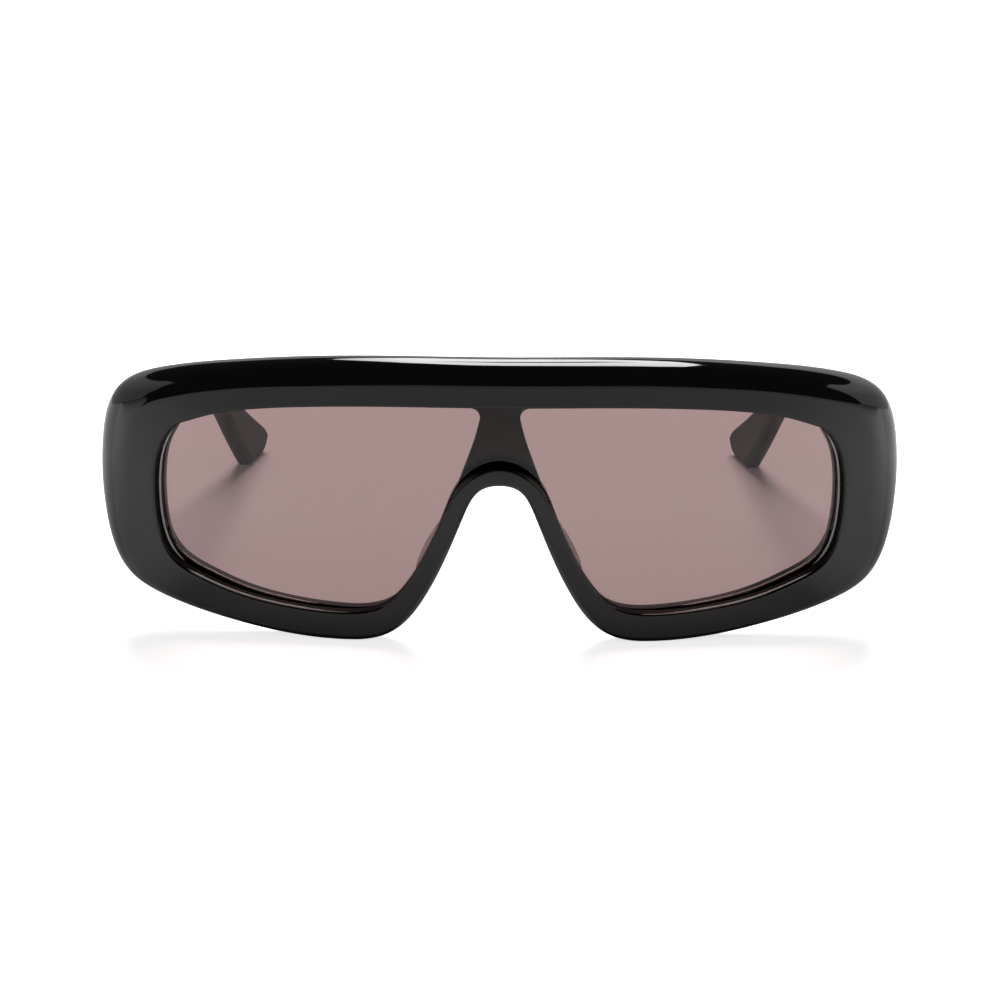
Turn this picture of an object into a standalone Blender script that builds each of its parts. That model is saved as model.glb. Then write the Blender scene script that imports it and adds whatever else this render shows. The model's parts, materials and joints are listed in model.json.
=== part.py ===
"""Shield sunglasses: a thick wrapped front holds one tinted lens, and two temples fold on metal hinges.

Metres, +Z up. The front faces -Y and the open temples run back along +Y. Left and right are the
wearer's, so left is +X. The part stands on two low places of its lower rim and on its temple tips,
and its origin lies on that surface, under the middle of the whole part.
"""

import math

import bmesh
import bpy
import numpy as np
from mathutils import Matrix, Vector
from mathutils.geometry import delaunay_2d_cdt

MM = 0.001

# Front sheet, drawn flat: u runs across from the middle, v runs up, w runs back from the front face
FRONT_HALF_WIDTH = 77.8 * MM
FRONT_HEIGHT = 55.2 * MM
FRONT_THICKNESS = 6.4 * MM
WRAP_RADIUS = 180.0 * MM
FRONT_LEAN = math.radians(8.0)

# Width of the rim round the lens window
BROW_RIM = 8.0 * MM
SIDE_RIM = 13.6 * MM
LOWER_RIM = 5.9 * MM
NOSE_RIM = 3.9 * MM
ARCH_RIM = 3.4 * MM

# Rounding of the rim's edges
BROW_ROUND = 4.6 * MM
SIDE_ROUND = 7.5 * MM
SIDE_ROUND_DEPTH = 5.2 * MM
LOWER_ROUND = 2.0 * MM
NOSE_ROUND = 1.0 * MM
REAR_ROUND = 0.9 * MM
WINDOW_ROUND = 0.45 * MM

# Lens, and the groove in the window's wall that holds it
LENS_THICKNESS = 1.7 * MM
LENS_SETBACK = 2.35 * MM
LENS_BITE = 1.2 * MM
LENS_EDGE_GAP = 0.3 * MM
LENS_FACE_GAP = 0.15 * MM
REAR_WINDOW_STEP = 0.9 * MM

# Post between the two rear windows, behind the lens
POST_TOP_HALF_WIDTH = 3.8 * MM
POST_FACE_INSET = 0.3 * MM

# Nose pads on the back of the rim
PAD_LENGTH = 15.0 * MM
PAD_WIDTH = 3.6 * MM
PAD_HEIGHT = 2.8 * MM
PAD_SEAT_GAP = 0.05 * MM

# Temples: each is drawn level from its hinge axis, then declined
TEMPLE_REACH = 115.2 * MM
TEMPLE_END = 12.5 * MM
TEMPLE_THICKNESS = 4.2 * MM
TIP_THICKNESS = 3.5 * MM
TEMPLE_HALF_HEIGHT = 7.0 * MM
ARM_HEIGHT = 7.8 * MM
TIP_HEIGHT = 10.8 * MM
TIP_INSET = 15.8 * MM
TEMPLE_STRAIGHT = 12.0 * MM
TEMPLE_DECLINE = math.radians(6.5)
TEMPLE_EDGE_ROUND = 1.2 * MM
TIP_EDGE_ROUND = 1.6 * MM
BUTT_GAP = 0.3 * MM

# Hinge axis, from the back of the front where the end block stands
BLOCK_LENGTH = 12.9 * MM
HINGE_INSET = 2.6 * MM
PIVOT_TO_TEMPLE = 1.9 * MM

# Five-knuckle hinge
BARREL_RADIUS = 1.6 * MM
BARREL_HEIGHT = 7.0 * MM
KNUCKLE_GAP = 0.1 * MM
LEAF_THICKNESS = 1.1 * MM
LEAF_START = 2.0 * MM
LEAF_END = 9.6 * MM
PIN_RADIUS = 0.6 * MM
PIN_CLEARANCE = 0.06 * MM
PIN_HEAD_RADIUS = 1.25 * MM
PIN_HEAD_HEIGHT = 0.5 * MM
PIN_HEAD_GAP = 0.05 * MM

# Small screws that hold the hinge leaves
LEAF_SCREW_RADIUS = 0.5 * MM
LEAF_SCREW_HEAD_RADIUS = 0.95 * MM
LEAF_SCREW_HEAD_HEIGHT = 0.45 * MM
LEAF_SCREW_DEPTH = 1.2 * MM
LEAF_SCREW_CLEARANCE = 0.06 * MM
LEAF_SCREW_TIP_GAP = 0.3 * MM
LEAF_SCREW_RISE = 2.3 * MM
SLOT_WIDTH = 0.3 * MM
SLOT_DEPTH = 0.22 * MM

# Wire that stiffens each temple
WIRE_THICKNESS = 1.1 * MM
WIRE_HEIGHT = 1.9 * MM
WIRE_CLEARANCE = 0.1 * MM
WIRE_START = 1.0 * MM
WIRE_LENGTH = 88.0 * MM

# Flat worn on what the part stands on, and how far cutters pass what they cut
FOOT_FLAT = 0.15 * MM
OVERRUN = 1.0 * MM

# Fineness of the curved surfaces
POINT_MERGE = 0.001 * MM
SMOOTH_ANGLE = math.radians(35)
PAD_SMOOTH_ANGLE = math.radians(60)
RIM_STEPS_PER_SPAN = 4
ROUND_STEPS = 5
SHEET_SPACING = 6.0 * MM
SECTIONS_PER_SPAN = 3
WIRE_SECTIONS = 14
CORNER_STEPS = 3
TURNED_SIDES = 16

# Outline of the front from its top middle to the top of the nose arch,
# as shares of its half width and its height
OUTLINE_SHARES = (
    (0.0, 1.0),
    (0.392, 0.986),
    (0.668, 0.938),
    (0.840, 0.884),
    (0.957, 0.797),
    (1.0, 0.605),
    (0.997, 0.386),
    (0.929, 0.150),
    (0.822, 0.083),
    (0.645, 0.032),
    (0.400, 0.0),
    (0.257, 0.038),
    (0.171, 0.184),
    (0.083, 0.471),
    (0.040, 0.565),
    (0.0, 0.578),
)

# Step from each outline point to the lens window's edge
RIM_STEPS = (
    (0.0, -BROW_RIM),
    (-0.04 * SIDE_RIM, -BROW_RIM),
    (-0.07 * SIDE_RIM, -1.04 * BROW_RIM),
    (-0.51 * SIDE_RIM, -BROW_RIM),
    (-0.96 * SIDE_RIM, -0.62 * BROW_RIM),
    (-SIDE_RIM, -0.05 * SIDE_RIM),
    (-SIDE_RIM, -0.04 * SIDE_RIM),
    (-0.85 * SIDE_RIM, 0.71 * LOWER_RIM),
    (-0.59 * SIDE_RIM, 0.93 * LOWER_RIM),
    (-0.30 * SIDE_RIM, 0.93 * LOWER_RIM),
    (-0.15 * SIDE_RIM, LOWER_RIM),
    (0.77 * NOSE_RIM, 0.83 * LOWER_RIM),
    (1.36 * NOSE_RIM, 0.0),
    (NOSE_RIM, -0.08 * NOSE_RIM),
    (0.59 * NOSE_RIM, 0.62 * ARCH_RIM),
    (0.0, ARCH_RIM),
)

# Rounding of the outer front edge at each outline point: across the rim, then into its depth
EDGE_ROUNDS = (
    (BROW_ROUND, BROW_ROUND),
    (BROW_ROUND, BROW_ROUND),
    (BROW_ROUND, BROW_ROUND),
    (0.75 * SIDE_ROUND, SIDE_ROUND_DEPTH),
    (0.93 * SIDE_ROUND, SIDE_ROUND_DEPTH),
    (SIDE_ROUND, SIDE_ROUND_DEPTH),
    (SIDE_ROUND, SIDE_ROUND_DEPTH),
    (0.73 * SIDE_ROUND, 0.85 * SIDE_ROUND_DEPTH),
    (1.7 * LOWER_ROUND, 1.7 * LOWER_ROUND),
    (1.2 * LOWER_ROUND, 1.2 * LOWER_ROUND),
    (LOWER_ROUND, LOWER_ROUND),
    (0.9 * LOWER_ROUND, 0.9 * LOWER_ROUND),
    (1.4 * NOSE_ROUND, 1.4 * NOSE_ROUND),
    (1.2 * NOSE_ROUND, 1.2 * NOSE_ROUND),
    (NOSE_ROUND, NOSE_ROUND),
    (NOSE_ROUND, NOSE_ROUND),
)

# How far the rear window's edge lies outside the front one, as shares of its largest step
REAR_WINDOW_SHARES = (0, 0, 0, 0, 0.2, 0.85, 0.85, 0.1, 0, 0.25, 0.55, 0.8, 1.1, 0.1, 0, 0)

# Post's visible side: distance out as a share of its top half width, height as a share of the front's
POST_SIDE_SHARES = (
    (3.55, 0.873),
    (2.5, 0.844),
    (1.62, 0.829),
    (1.17, 0.820),
    (1.0, 0.799),
    (1.05, 0.770),
    (1.21, 0.726),
    (1.53, 0.659),
    (1.92, 0.585),
    (2.29, 0.522),
)

# Post's hidden ends, inside the brow and inside the nose arch, in the same shares
POST_BROW_SHARES = ((0.0, 0.9), (3.2, 0.892))
POST_ARCH_SHARES = ((1.85, 0.530), (1.14, 0.585), (0.55, 0.604), (0.0, 0.609))

# Root of each end block inside the rim: across and up, as shares of the half width and the height
BLOCK_ROOT_ACROSS_SHARES = (0.875, 0.962)
BLOCK_ROOT_UP_SHARES = (0.475, 0.735)
BLOCK_ROOT_DEPTH_SHARE = 0.68
BLOCK_FLARE_SHARE = 0.13
BLOCK_STRAIGHT_SHARE = 1.05

# Temple side view: place along the reach, middle as a share of the tip's drop, height in named sizes
TEMPLE_ALONG_SHARES = (0.0, 0.10, 0.27, 0.43, 0.57, 0.68, 0.79, 0.893, 1.0)
TEMPLE_MIDDLE_SHARES = (0.0, 0.0, -0.009, -0.013, -0.03, -0.095, -0.235, -0.52, -0.80)
TEMPLE_HEIGHTS = (
    2 * TEMPLE_HALF_HEIGHT,
    1.97 * TEMPLE_HALF_HEIGHT,
    1.69 * TEMPLE_HALF_HEIGHT,
    1.29 * ARM_HEIGHT,
    ARM_HEIGHT,
    0.85 * ARM_HEIGHT,
    0.82 * ARM_HEIGHT,
    0.75 * TIP_HEIGHT,
    TIP_HEIGHT,
)
TEMPLE_BOW_POWER = 1.3

# Tip behind the reach: its bottom lies level and then rounds up, and its top falls to the end
TIP_PLACE_SHARES = (0.35, 0.7, 0.82, 0.92, 0.98, 1.0)
TIP_TOP_FALL_SHARE = 0.33
TOE_START_SHARE = 0.7
TOE_RISE_SHARE = 0.22
END_START_SHARE = 0.88
END_FALL_SHARE = 0.08

PAD_TAPER_SHARE = 0.18
PAD_LEAN_SHARE = 0.12
PAD_OUTLINE_PLACES = (12, 13)
PAD_RINGS = 5
PAD_SIDES = 20


def material(name, colour, roughness, metallic=0.0, alpha=1.0, transmission=0.0):
    """A plain surface in the piece's own colour and gloss."""
    made = bpy.data.materials.new(name)
    made.use_nodes = True
    shader = made.node_tree.nodes["Principled BSDF"]
    shader.inputs["Base Color"].default_value = (*colour, 1.0)
    shader.inputs["Roughness"].default_value = roughness
    shader.inputs["Metallic"].default_value = metallic
    shader.inputs["Alpha"].default_value = alpha
    shader.inputs["Transmission Weight"].default_value = transmission
    return made


def acetate_material(name):
    return material(name, (0.012, 0.012, 0.013), 0.08)


def lens_material(name):
    return material(name, (0.36, 0.25, 0.245), 0.03, alpha=0.6, transmission=0.6)


def steel_material(name):
    return material(name, (0.62, 0.62, 0.64), 0.3, metallic=1.0)


def mesh_object(name, points, faces, surface, parent=None, smooth_angle=SMOOTH_ANGLE):
    """An object from points and faces, its faces turned outward."""
    mesh = bpy.data.meshes.new(name)
    mesh.from_pydata([tuple(point) for point in points], [], faces)
    shape = bmesh.new()
    shape.from_mesh(mesh)
    bmesh.ops.recalc_face_normals(shape, faces=shape.faces)
    shape.to_mesh(mesh)
    shape.free()
    mesh.shade_smooth()
    mesh.set_sharp_from_angle(angle=smooth_angle)
    mesh.materials.append(surface)
    made = bpy.data.objects.new(name, mesh)
    bpy.context.scene.collection.objects.link(made)
    made.parent = parent
    return made


def empty(name, location=(0, 0, 0), rotation=(0, 0, 0), parent=None):
    made = bpy.data.objects.new(name, None)
    made.location = location
    made.rotation_euler = rotation
    made.parent = parent
    bpy.context.scene.collection.objects.link(made)
    return made


def combine(target, other, operation):
    """Joins another solid to the target, or cuts it away, and hides the other."""
    other.hide_render = True
    other.display_type = "WIRE"
    modifier = target.modifiers.new(other.name, "BOOLEAN")
    modifier.operation = operation
    modifier.solver = "EXACT"
    modifier.object = other


def grid_faces(rings, sides, closed_rings=False):
    """Quads between rings of points; the last ring meets the first when closed_rings is set."""
    faces = []
    for ring in range(rings if closed_rings else rings - 1):
        after = (ring + 1) % rings
        for side in range(sides):
            next_side = (side + 1) % sides
            faces.append(
                (
                    ring * sides + side,
                    ring * sides + next_side,
                    after * sides + next_side,
                    after * sides + side,
                )
            )
    return faces


def capped_loft(rings):
    """Points and faces of a solid through a list of rings, closed at both ends."""
    sides = len(rings[0])
    faces = grid_faces(len(rings), sides)
    faces.append(tuple(range(sides))[::-1])
    faces.append(tuple(range((len(rings) - 1) * sides, len(rings) * sides)))
    return np.concatenate(rings), faces


def box_points(low, high):
    rings = []
    for z in (low[2], high[2]):
        corners = ((low[0], low[1]), (high[0], low[1]), (high[0], high[1]), (low[0], high[1]))
        rings.append(np.array([(x, y, z) for x, y in corners]))
    return rings


def cylinder_rings(start, end, radius, sides=TURNED_SIDES):
    """Two rings round the line from start to end."""
    start, end = Vector(start), Vector(end)
    turn = (end - start).to_track_quat("Z", "Y").to_matrix()
    rings = []
    for centre in (start, end):
        angles = [2 * math.pi * side / sides for side in range(sides)]
        spokes = [turn @ Vector((math.cos(a), math.sin(a), 0)) * radius for a in angles]
        rings.append(np.array([centre + spoke for spoke in spokes]))
    return rings


def cubic_curve(rows, spans, per_span, closed):
    """Rows read at per_span places in each span of a cubic curve whose bend never jumps."""
    rows = np.asarray(rows, float)
    count = len(rows)
    after = np.roll(rows, -1, axis=0)
    before = np.roll(rows, 1, axis=0)
    spans = np.asarray(spans, float)
    spans_before = np.roll(spans, 1)
    system = np.zeros((count, count))
    index = np.arange(count)
    system[index, index] = 2 * (spans_before + spans)
    system[index, index - 1] += spans_before
    system[index, (index + 1) % count] += spans
    slopes = (after - rows) / spans[:, None]
    slopes_before = (rows - before) / spans_before[:, None]
    bends = 6 * (slopes - slopes_before)
    if not closed:
        for end in (0, count - 1):
            system[end] = 0
            system[end, end] = 1
            bends[end] = 0
    bends = np.linalg.solve(system, bends)
    bends_after = np.roll(bends, -1, axis=0)
    read = []
    for step in range(per_span):
        far = step / per_span
        near = 1 - far
        bend = (near**3 - near) * bends + (far**3 - far) * bends_after
        read.append(near * rows + far * after + bend * spans[:, None] ** 2 / 6)
    read = np.stack(read, axis=1).reshape(count * per_span, -1)
    return read if closed else read[: (count - 1) * per_span + 1]


def mirrored(rows, across_columns):
    """Rows of the right half, then those of the left half, back to the start."""
    rows = np.asarray(rows, float)
    signs = np.ones(rows.shape[1])
    signs[list(across_columns)] = -1
    return np.vstack([rows, rows[-2:0:-1] * signs])


def rim_stations(per_span):
    """Outline point, inward direction, rim width, two roundings and rear step at each place of the rim."""
    outline = np.array(OUTLINE_SHARES) * (FRONT_HALF_WIDTH, FRONT_HEIGHT)
    window = outline + np.array(RIM_STEPS)
    rear_steps = np.array(REAR_WINDOW_SHARES)[:, None] * REAR_WINDOW_STEP
    rows = mirrored(np.hstack([outline, window, EDGE_ROUNDS, rear_steps]), (0, 2))
    spans = np.linalg.norm(np.roll(rows[:, :2], -1, axis=0) - rows[:, :2], axis=1)
    read = cubic_curve(rows, spans, per_span, closed=True)
    inward = read[:, 2:4] - read[:, :2]
    width = np.linalg.norm(inward, axis=1)
    deepest = FRONT_THICKNESS - REAR_ROUND
    return {
        "outline": read[:, :2],
        "inward": inward / width[:, None],
        "width": width,
        "round": read[:, 4],
        "round_depth": np.minimum(read[:, 5], deepest),
        "rear_step": np.maximum(read[:, 6], 0),
    }


def rim_profile(stations, round_steps):
    """Pairs of distance in from the outline and depth, round the rim's section, for all stations."""
    width = stations["width"]
    nought = np.zeros_like(width)
    groove_front = LENS_SETBACK - LENS_FACE_GAP
    groove_back = LENS_SETBACK + LENS_THICKNESS + LENS_FACE_GAP
    groove_floor = width - LENS_BITE - LENS_EDGE_GAP
    rear_edge = width - stations["rear_step"]
    pairs = []
    for step in range(round_steps + 1):
        angle = 0.5 * math.pi * step / round_steps
        across = stations["round"] * (1 - math.cos(angle))
        pairs.append((across, stations["round_depth"] * (1 - math.sin(angle))))
    for angle in (0, 0.25 * math.pi, 0.5 * math.pi):
        across = width - WINDOW_ROUND * (1 - math.sin(angle))
        pairs.append((across, nought + WINDOW_ROUND * (1 - math.cos(angle))))
    pairs.append((width, nought + groove_front))
    pairs.append((groove_floor, nought + groove_front))
    pairs.append((groove_floor, nought + groove_back))
    pairs.append((rear_edge, nought + groove_back))
    pairs.append((rear_edge, nought + FRONT_THICKNESS - WINDOW_ROUND))
    pairs.append((rear_edge - WINDOW_ROUND, nought + FRONT_THICKNESS))
    for angle in (0, 0.25 * math.pi, 0.5 * math.pi):
        across = nought + REAR_ROUND * (1 - math.sin(angle))
        pairs.append((across, nought + FRONT_THICKNESS - REAR_ROUND * (1 - math.cos(angle))))
    return pairs


def bend_sheet(u, v, w):
    """Places of the flat front once it is wrapped about its upright cylinder and leaned forward."""
    angle = u / WRAP_RADIUS
    radius = WRAP_RADIUS - w
    x = radius * np.sin(angle)
    y = WRAP_RADIUS - radius * np.cos(angle)
    lean_y = y * math.cos(FRONT_LEAN) - v * math.sin(FRONT_LEAN)
    lean_z = v * math.cos(FRONT_LEAN) + y * math.sin(FRONT_LEAN)
    return np.stack([x, lean_y, lean_z], axis=-1)


def rim_points(stations, pairs):
    """Rings of points, one ring for each station."""
    columns = []
    for across, depth in pairs:
        flat = stations["outline"] + stations["inward"] * across[:, None]
        columns.append(bend_sheet(flat[:, 0], flat[:, 1], depth))
    return np.stack(columns, axis=1)


def inside_outline(points, outline, margin):
    """Which points lie inside a closed outline and at least the margin away from it."""
    start = outline[None]
    end = np.roll(outline, -1, axis=0)[None]
    place = points[:, None]
    along = end - start
    share = np.clip(((place - start) * along).sum(2) / (along**2).sum(2), 0, 1)
    gap = np.linalg.norm(place - start - share[..., None] * along, axis=2).min(axis=1)
    straddles = (start[..., 1] > place[..., 1]) != (end[..., 1] > place[..., 1])
    rise = np.where(along[..., 1] == 0, 1, along[..., 1])
    crossing = start[..., 0] + (place[..., 1] - start[..., 1]) * along[..., 0] / rise
    hits = (straddles & (place[..., 0] < crossing)).sum(axis=1)
    return (hits % 2 == 1) & (gap > margin)


def bent_plate(name, outline, front_depth, back_depth, surface, parent):
    """A solid of even thickness inside a flat outline, bent and leaned with the front."""
    low, high = outline.min(axis=0), outline.max(axis=0)
    across = np.arange(low[0], high[0], SHEET_SPACING)
    up = np.arange(low[1], high[1], SHEET_SPACING)
    lattice = np.stack(np.meshgrid(across, up), axis=-1).reshape(-1, 2)
    lattice = lattice[inside_outline(lattice, outline, 0.4 * SHEET_SPACING)]
    flat = [Vector(place) for place in np.vstack([outline, lattice])]
    edges = [(side, (side + 1) % len(outline)) for side in range(len(outline))]
    made = delaunay_2d_cdt(flat, edges, [], 1, POINT_MERGE)
    places = np.array([tuple(place) for place in made[0]])
    triangles = [tuple(face) for face in made[2]]
    new_index = {old: new for new, olds in enumerate(made[3]) for old in olds}
    rim = [new_index[side] for side in range(len(outline))]
    count = len(places)
    faces = list(triangles)
    faces += [tuple(count + corner for corner in reversed(face)) for face in triangles]
    for side, corner in enumerate(rim):
        other = rim[(side + 1) % len(rim)]
        faces.append((corner, other, count + other, count + corner))
    points = [bend_sheet(places[:, 0], places[:, 1], depth) for depth in (front_depth, back_depth)]
    return mesh_object(name, np.concatenate(points), faces, surface, parent)


def post_outline():
    """Closed flat outline of the post, its hidden ends inside the brow and the nose arch."""
    scale = np.array([POST_TOP_HALF_WIDTH, FRONT_HEIGHT])
    side = np.array(POST_SIDE_SHARES) * scale
    spans = np.linalg.norm(np.roll(side, -1, axis=0) - side, axis=1)
    side = cubic_curve(side, spans, RIM_STEPS_PER_SPAN, closed=False)
    half = np.vstack([np.array(POST_BROW_SHARES) * scale, side, np.array(POST_ARCH_SHARES) * scale])
    return mirrored(half, (0,))


def rounded_ring(x_low, x_high, z_low, z_high, y, radius):
    """A rounded rectangle that lies square to Y."""
    radius = min(radius, 0.45 * (x_high - x_low), 0.45 * (z_high - z_low))
    centres = (
        (x_high - radius, z_high - radius, 0.0),
        (x_low + radius, z_high - radius, 0.5 * math.pi),
        (x_low + radius, z_low + radius, math.pi),
        (x_high - radius, z_low + radius, 1.5 * math.pi),
    )
    ring = []
    for x, z, start in centres:
        for step in range(CORNER_STEPS + 1):
            angle = start + 0.5 * math.pi * step / CORNER_STEPS
            ring.append((x + radius * math.cos(angle), y, z + radius * math.sin(angle)))
    return np.array(ring)


def hinge_place(front_drop):
    """Middle of the hinge on the wearer's left, behind the end of the front."""
    across = 0.5 * sum(BLOCK_ROOT_ACROSS_SHARES) * FRONT_HALF_WIDTH
    up = 0.5 * sum(BLOCK_ROOT_UP_SHARES) * FRONT_HEIGHT
    x, y, z = bend_sheet(across, up, FRONT_THICKNESS)
    return x - HINGE_INSET, y + BLOCK_LENGTH, z - front_drop


def make_end_block(side, hinge, front_drop, parent):
    """Block behind the end of the front, whose flat back the temple closes against."""
    butt = -0.5 * BUTT_GAP
    inner = PIVOT_TO_TEMPLE
    outer = PIVOT_TO_TEMPLE + TEMPLE_THICKNESS
    half = TEMPLE_HALF_HEIGHT
    to_part = Matrix.Translation((side * hinge[0], hinge[1], hinge[2]))
    to_part = to_part @ Matrix.Rotation(-TEMPLE_DECLINE, 4, "X")
    rings = []
    straight = BLOCK_STRAIGHT_SHARE * LEAF_END
    for share in (0.0, 0.5, 1.0):
        flare = share * BLOCK_FLARE_SHARE * TEMPLE_THICKNESS
        ring = rounded_ring(
            inner, outer + flare, -half - flare, half + flare, butt - share * straight, TEMPLE_EDGE_ROUND
        )
        rings.append(np.array([to_part @ Vector((side * x, y, z)) for x, y, z in ring]))
    across = np.array(BLOCK_ROOT_ACROSS_SHARES) * FRONT_HALF_WIDTH
    up = np.array(BLOCK_ROOT_UP_SHARES) * FRONT_HEIGHT
    root = rounded_ring(across[0], across[1], up[0], up[1], 0, TEMPLE_EDGE_ROUND)
    depth = np.full(len(root), BLOCK_ROOT_DEPTH_SHARE * FRONT_THICKNESS)
    rings.append(bend_sheet(side * root[:, 0], root[:, 2], depth) - (0, 0, front_drop))
    points, faces = capped_loft(rings)
    return mesh_object(f"end_block_{side}", points, faces, acetate_material("acetate_block"), parent)


def quarter_rise(share, start):
    """From 0 at the start to 1 at the whole, as a quarter of a circle turns up."""
    along = max(share - start, 0) / (1 - start)
    return 1 - math.sqrt(1 - along**2)


def temple_sections(hinge):
    """Place along, top, bottom, inset, thickness and rounding at each section of a temple, level with it."""
    drop = (hinge[2] + FOOT_FLAT - TEMPLE_REACH * math.sin(TEMPLE_DECLINE)) / math.cos(TEMPLE_DECLINE)
    middle_low = -drop + 0.5 * TIP_HEIGHT
    middles = np.array(TEMPLE_MIDDLE_SHARES) * (middle_low / TEMPLE_MIDDLE_SHARES[-1])
    along = np.array(TEMPLE_ALONG_SHARES) * TEMPLE_REACH
    rows = np.stack([along, middles, TEMPLE_HEIGHTS], axis=1)
    spans = np.append(np.diff(along), TEMPLE_REACH)
    read = cubic_curve(rows, spans, SECTIONS_PER_SPAN, closed=False)
    sections = []
    for y, middle, height in read:
        sections.append((max(y, 0.5 * BUTT_GAP), middle + 0.5 * height, middle - 0.5 * height))
    _, top, bottom = sections[-1]
    for share in TIP_PLACE_SHARES:
        along = share * TEMPLE_END
        end_fall = END_FALL_SHARE * TIP_HEIGHT * quarter_rise(share, END_START_SHARE)
        toe_rise = TOE_RISE_SHARE * TIP_HEIGHT * quarter_rise(share, TOE_START_SHARE)
        high = top - TIP_TOP_FALL_SHARE * along - end_fall
        low = bottom + math.tan(TEMPLE_DECLINE) * along + toe_rise
        sections.append((TEMPLE_REACH + along, high, low))
    whole = TEMPLE_REACH + TEMPLE_END
    made = []
    for y, high, low in sections:
        bow = max(y - TEMPLE_STRAIGHT, 0) / (TEMPLE_REACH - TEMPLE_STRAIGHT)
        thickness = TEMPLE_THICKNESS + (TIP_THICKNESS - TEMPLE_THICKNESS) * y / whole
        edge_round = TEMPLE_EDGE_ROUND + (TIP_EDGE_ROUND - TEMPLE_EDGE_ROUND) * y / whole
        made.append((y, high, low, TIP_INSET * bow**TEMPLE_BOW_POWER, thickness, edge_round))
    return made


def make_temple(side, hinge, parent):
    """Temple board from its butt face to its tip, drawn level in the frame of its hinge axis."""
    outer_start = PIVOT_TO_TEMPLE + TEMPLE_THICKNESS
    rings = []
    for y, high, low, inset, thickness, edge_round in temple_sections(hinge):
        outer = outer_start - inset
        ring = rounded_ring(outer - thickness, outer, low, high, y, edge_round)
        rings.append(ring * (side, 1, 1))
    points, faces = capped_loft(rings)
    name = f"temple_{side_name(side)}"
    return mesh_object(name, points, faces, acetate_material(name), parent)


def wire_rings(side, hinge, clearance, start, end):
    """Rings along the middle of the temple's thickness, for the wire or for its channel."""
    sections = np.array(temple_sections(hinge))
    along = np.linspace(start, end, WIRE_SECTIONS)
    outer_start = PIVOT_TO_TEMPLE + TEMPLE_THICKNESS
    half_height = 0.5 * WIRE_HEIGHT + clearance
    half_thickness = 0.5 * WIRE_THICKNESS + clearance
    rings = []
    for y in along:
        high, low, inset, thickness = (np.interp(y, sections[:, 0], sections[:, k]) for k in (1, 2, 3, 4))
        x = outer_start - inset - 0.5 * thickness
        z = 0.5 * (high + low)
        corners = ((1, 1), (-1, 1), (-1, -1), (1, -1))
        rings.append(
            np.array([(side * (x + a * half_thickness), y, z + b * half_height) for a, b in corners])
        )
    return rings


def side_name(side):
    return "left" if side > 0 else "right"


def leaf_direction(role):
    """Front leaves lie before the axis and temple leaves behind it."""
    return -1 if role == "front" else 1


def knuckle_levels(role):
    """Bottom and top of each knuckle: three on the front leaf, two between them on the temple leaf."""
    pitch = (BARREL_HEIGHT + KNUCKLE_GAP) / 5
    order = (0, 2, 4) if role == "front" else (1, 3)
    bottoms = [-0.5 * BARREL_HEIGHT + pitch * level for level in order]
    return [(bottom, bottom + pitch - KNUCKLE_GAP) for bottom in bottoms]


def leaf_plate_across():
    return BARREL_RADIUS - LEAF_THICKNESS, BARREL_RADIUS


def leaf_screw_places(role):
    """Along the leaf and up it, for its two screws."""
    along = leaf_direction(role) * 0.5 * (LEAF_START + LEAF_END)
    return [(along, -LEAF_SCREW_RISE), (along, LEAF_SCREW_RISE)]


def make_leaf(side, role, parent):
    """Hinge leaf: a plate on the acetate with knuckles round the axis."""
    way = leaf_direction(role)
    inner, outer = leaf_plate_across()
    name = f"hinge_{role}_leaf_{side_name(side)}"
    surface = steel_material(name)
    ends = sorted((way * LEAF_START, way * LEAF_END))
    half = 0.5 * BARREL_HEIGHT
    plate = [ring * (side, 1, 1) for ring in box_points((inner, ends[0], -half), (outer, ends[1], half))]
    leaf = mesh_object(name, *capped_loft(plate), surface, parent)
    first = math.acos(inner / BARREL_RADIUS)
    for number, (bottom, top) in enumerate(knuckle_levels(role)):
        outline = [(outer, LEAF_START + 0.3 * LEAF_THICKNESS), (inner, LEAF_START + 0.3 * LEAF_THICKNESS)]
        for step in range(TURNED_SIDES + 1):
            angle = first + (2 * math.pi - first) * step / TURNED_SIDES
            outline.append((BARREL_RADIUS * math.cos(angle), BARREL_RADIUS * math.sin(angle)))
        rings = [np.array([(side * x, way * y, z) for x, y in outline]) for z in (bottom, top)]
        knuckle = mesh_object(f"{name}_knuckle_{number}", *capped_loft(rings), surface, parent)
        combine(leaf, knuckle, "UNION")
    reach = half + OVERRUN
    bore = cylinder_rings((0, 0, -reach), (0, 0, reach), PIN_RADIUS + PIN_CLEARANCE)
    combine(leaf, mesh_object(f"{name}_bore", *capped_loft(bore), surface, parent), "DIFFERENCE")
    for number, (y, z) in enumerate(leaf_screw_places(role)):
        hole = leaf_screw_hole(side, y, z)
        combine(leaf, mesh_object(f"{name}_hole_{number}", *capped_loft(hole), surface, parent), "DIFFERENCE")
    return leaf


def leaf_screw_hole(side, y, z):
    inner, _ = leaf_plate_across()
    start = (side * (inner - OVERRUN), y, z)
    end = (side * (PIVOT_TO_TEMPLE + LEAF_SCREW_DEPTH + LEAF_SCREW_TIP_GAP), y, z)
    return cylinder_rings(start, end, LEAF_SCREW_RADIUS + LEAF_SCREW_CLEARANCE)


def turned_rings(profile, origin, direction, sides=TURNED_SIDES):
    """Rings of a turned piece; the profile holds radius and distance along the direction."""
    turn = Vector(direction).to_track_quat("Z", "Y").to_matrix()
    rings = []
    for radius, distance in profile:
        ring = []
        for step in range(sides):
            angle = 2 * math.pi * step / sides
            spoke = Vector((radius * math.cos(angle), radius * math.sin(angle), distance))
            ring.append(Vector(origin) + turn @ spoke)
        rings.append(np.array([tuple(place) for place in ring]))
    return rings


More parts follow.
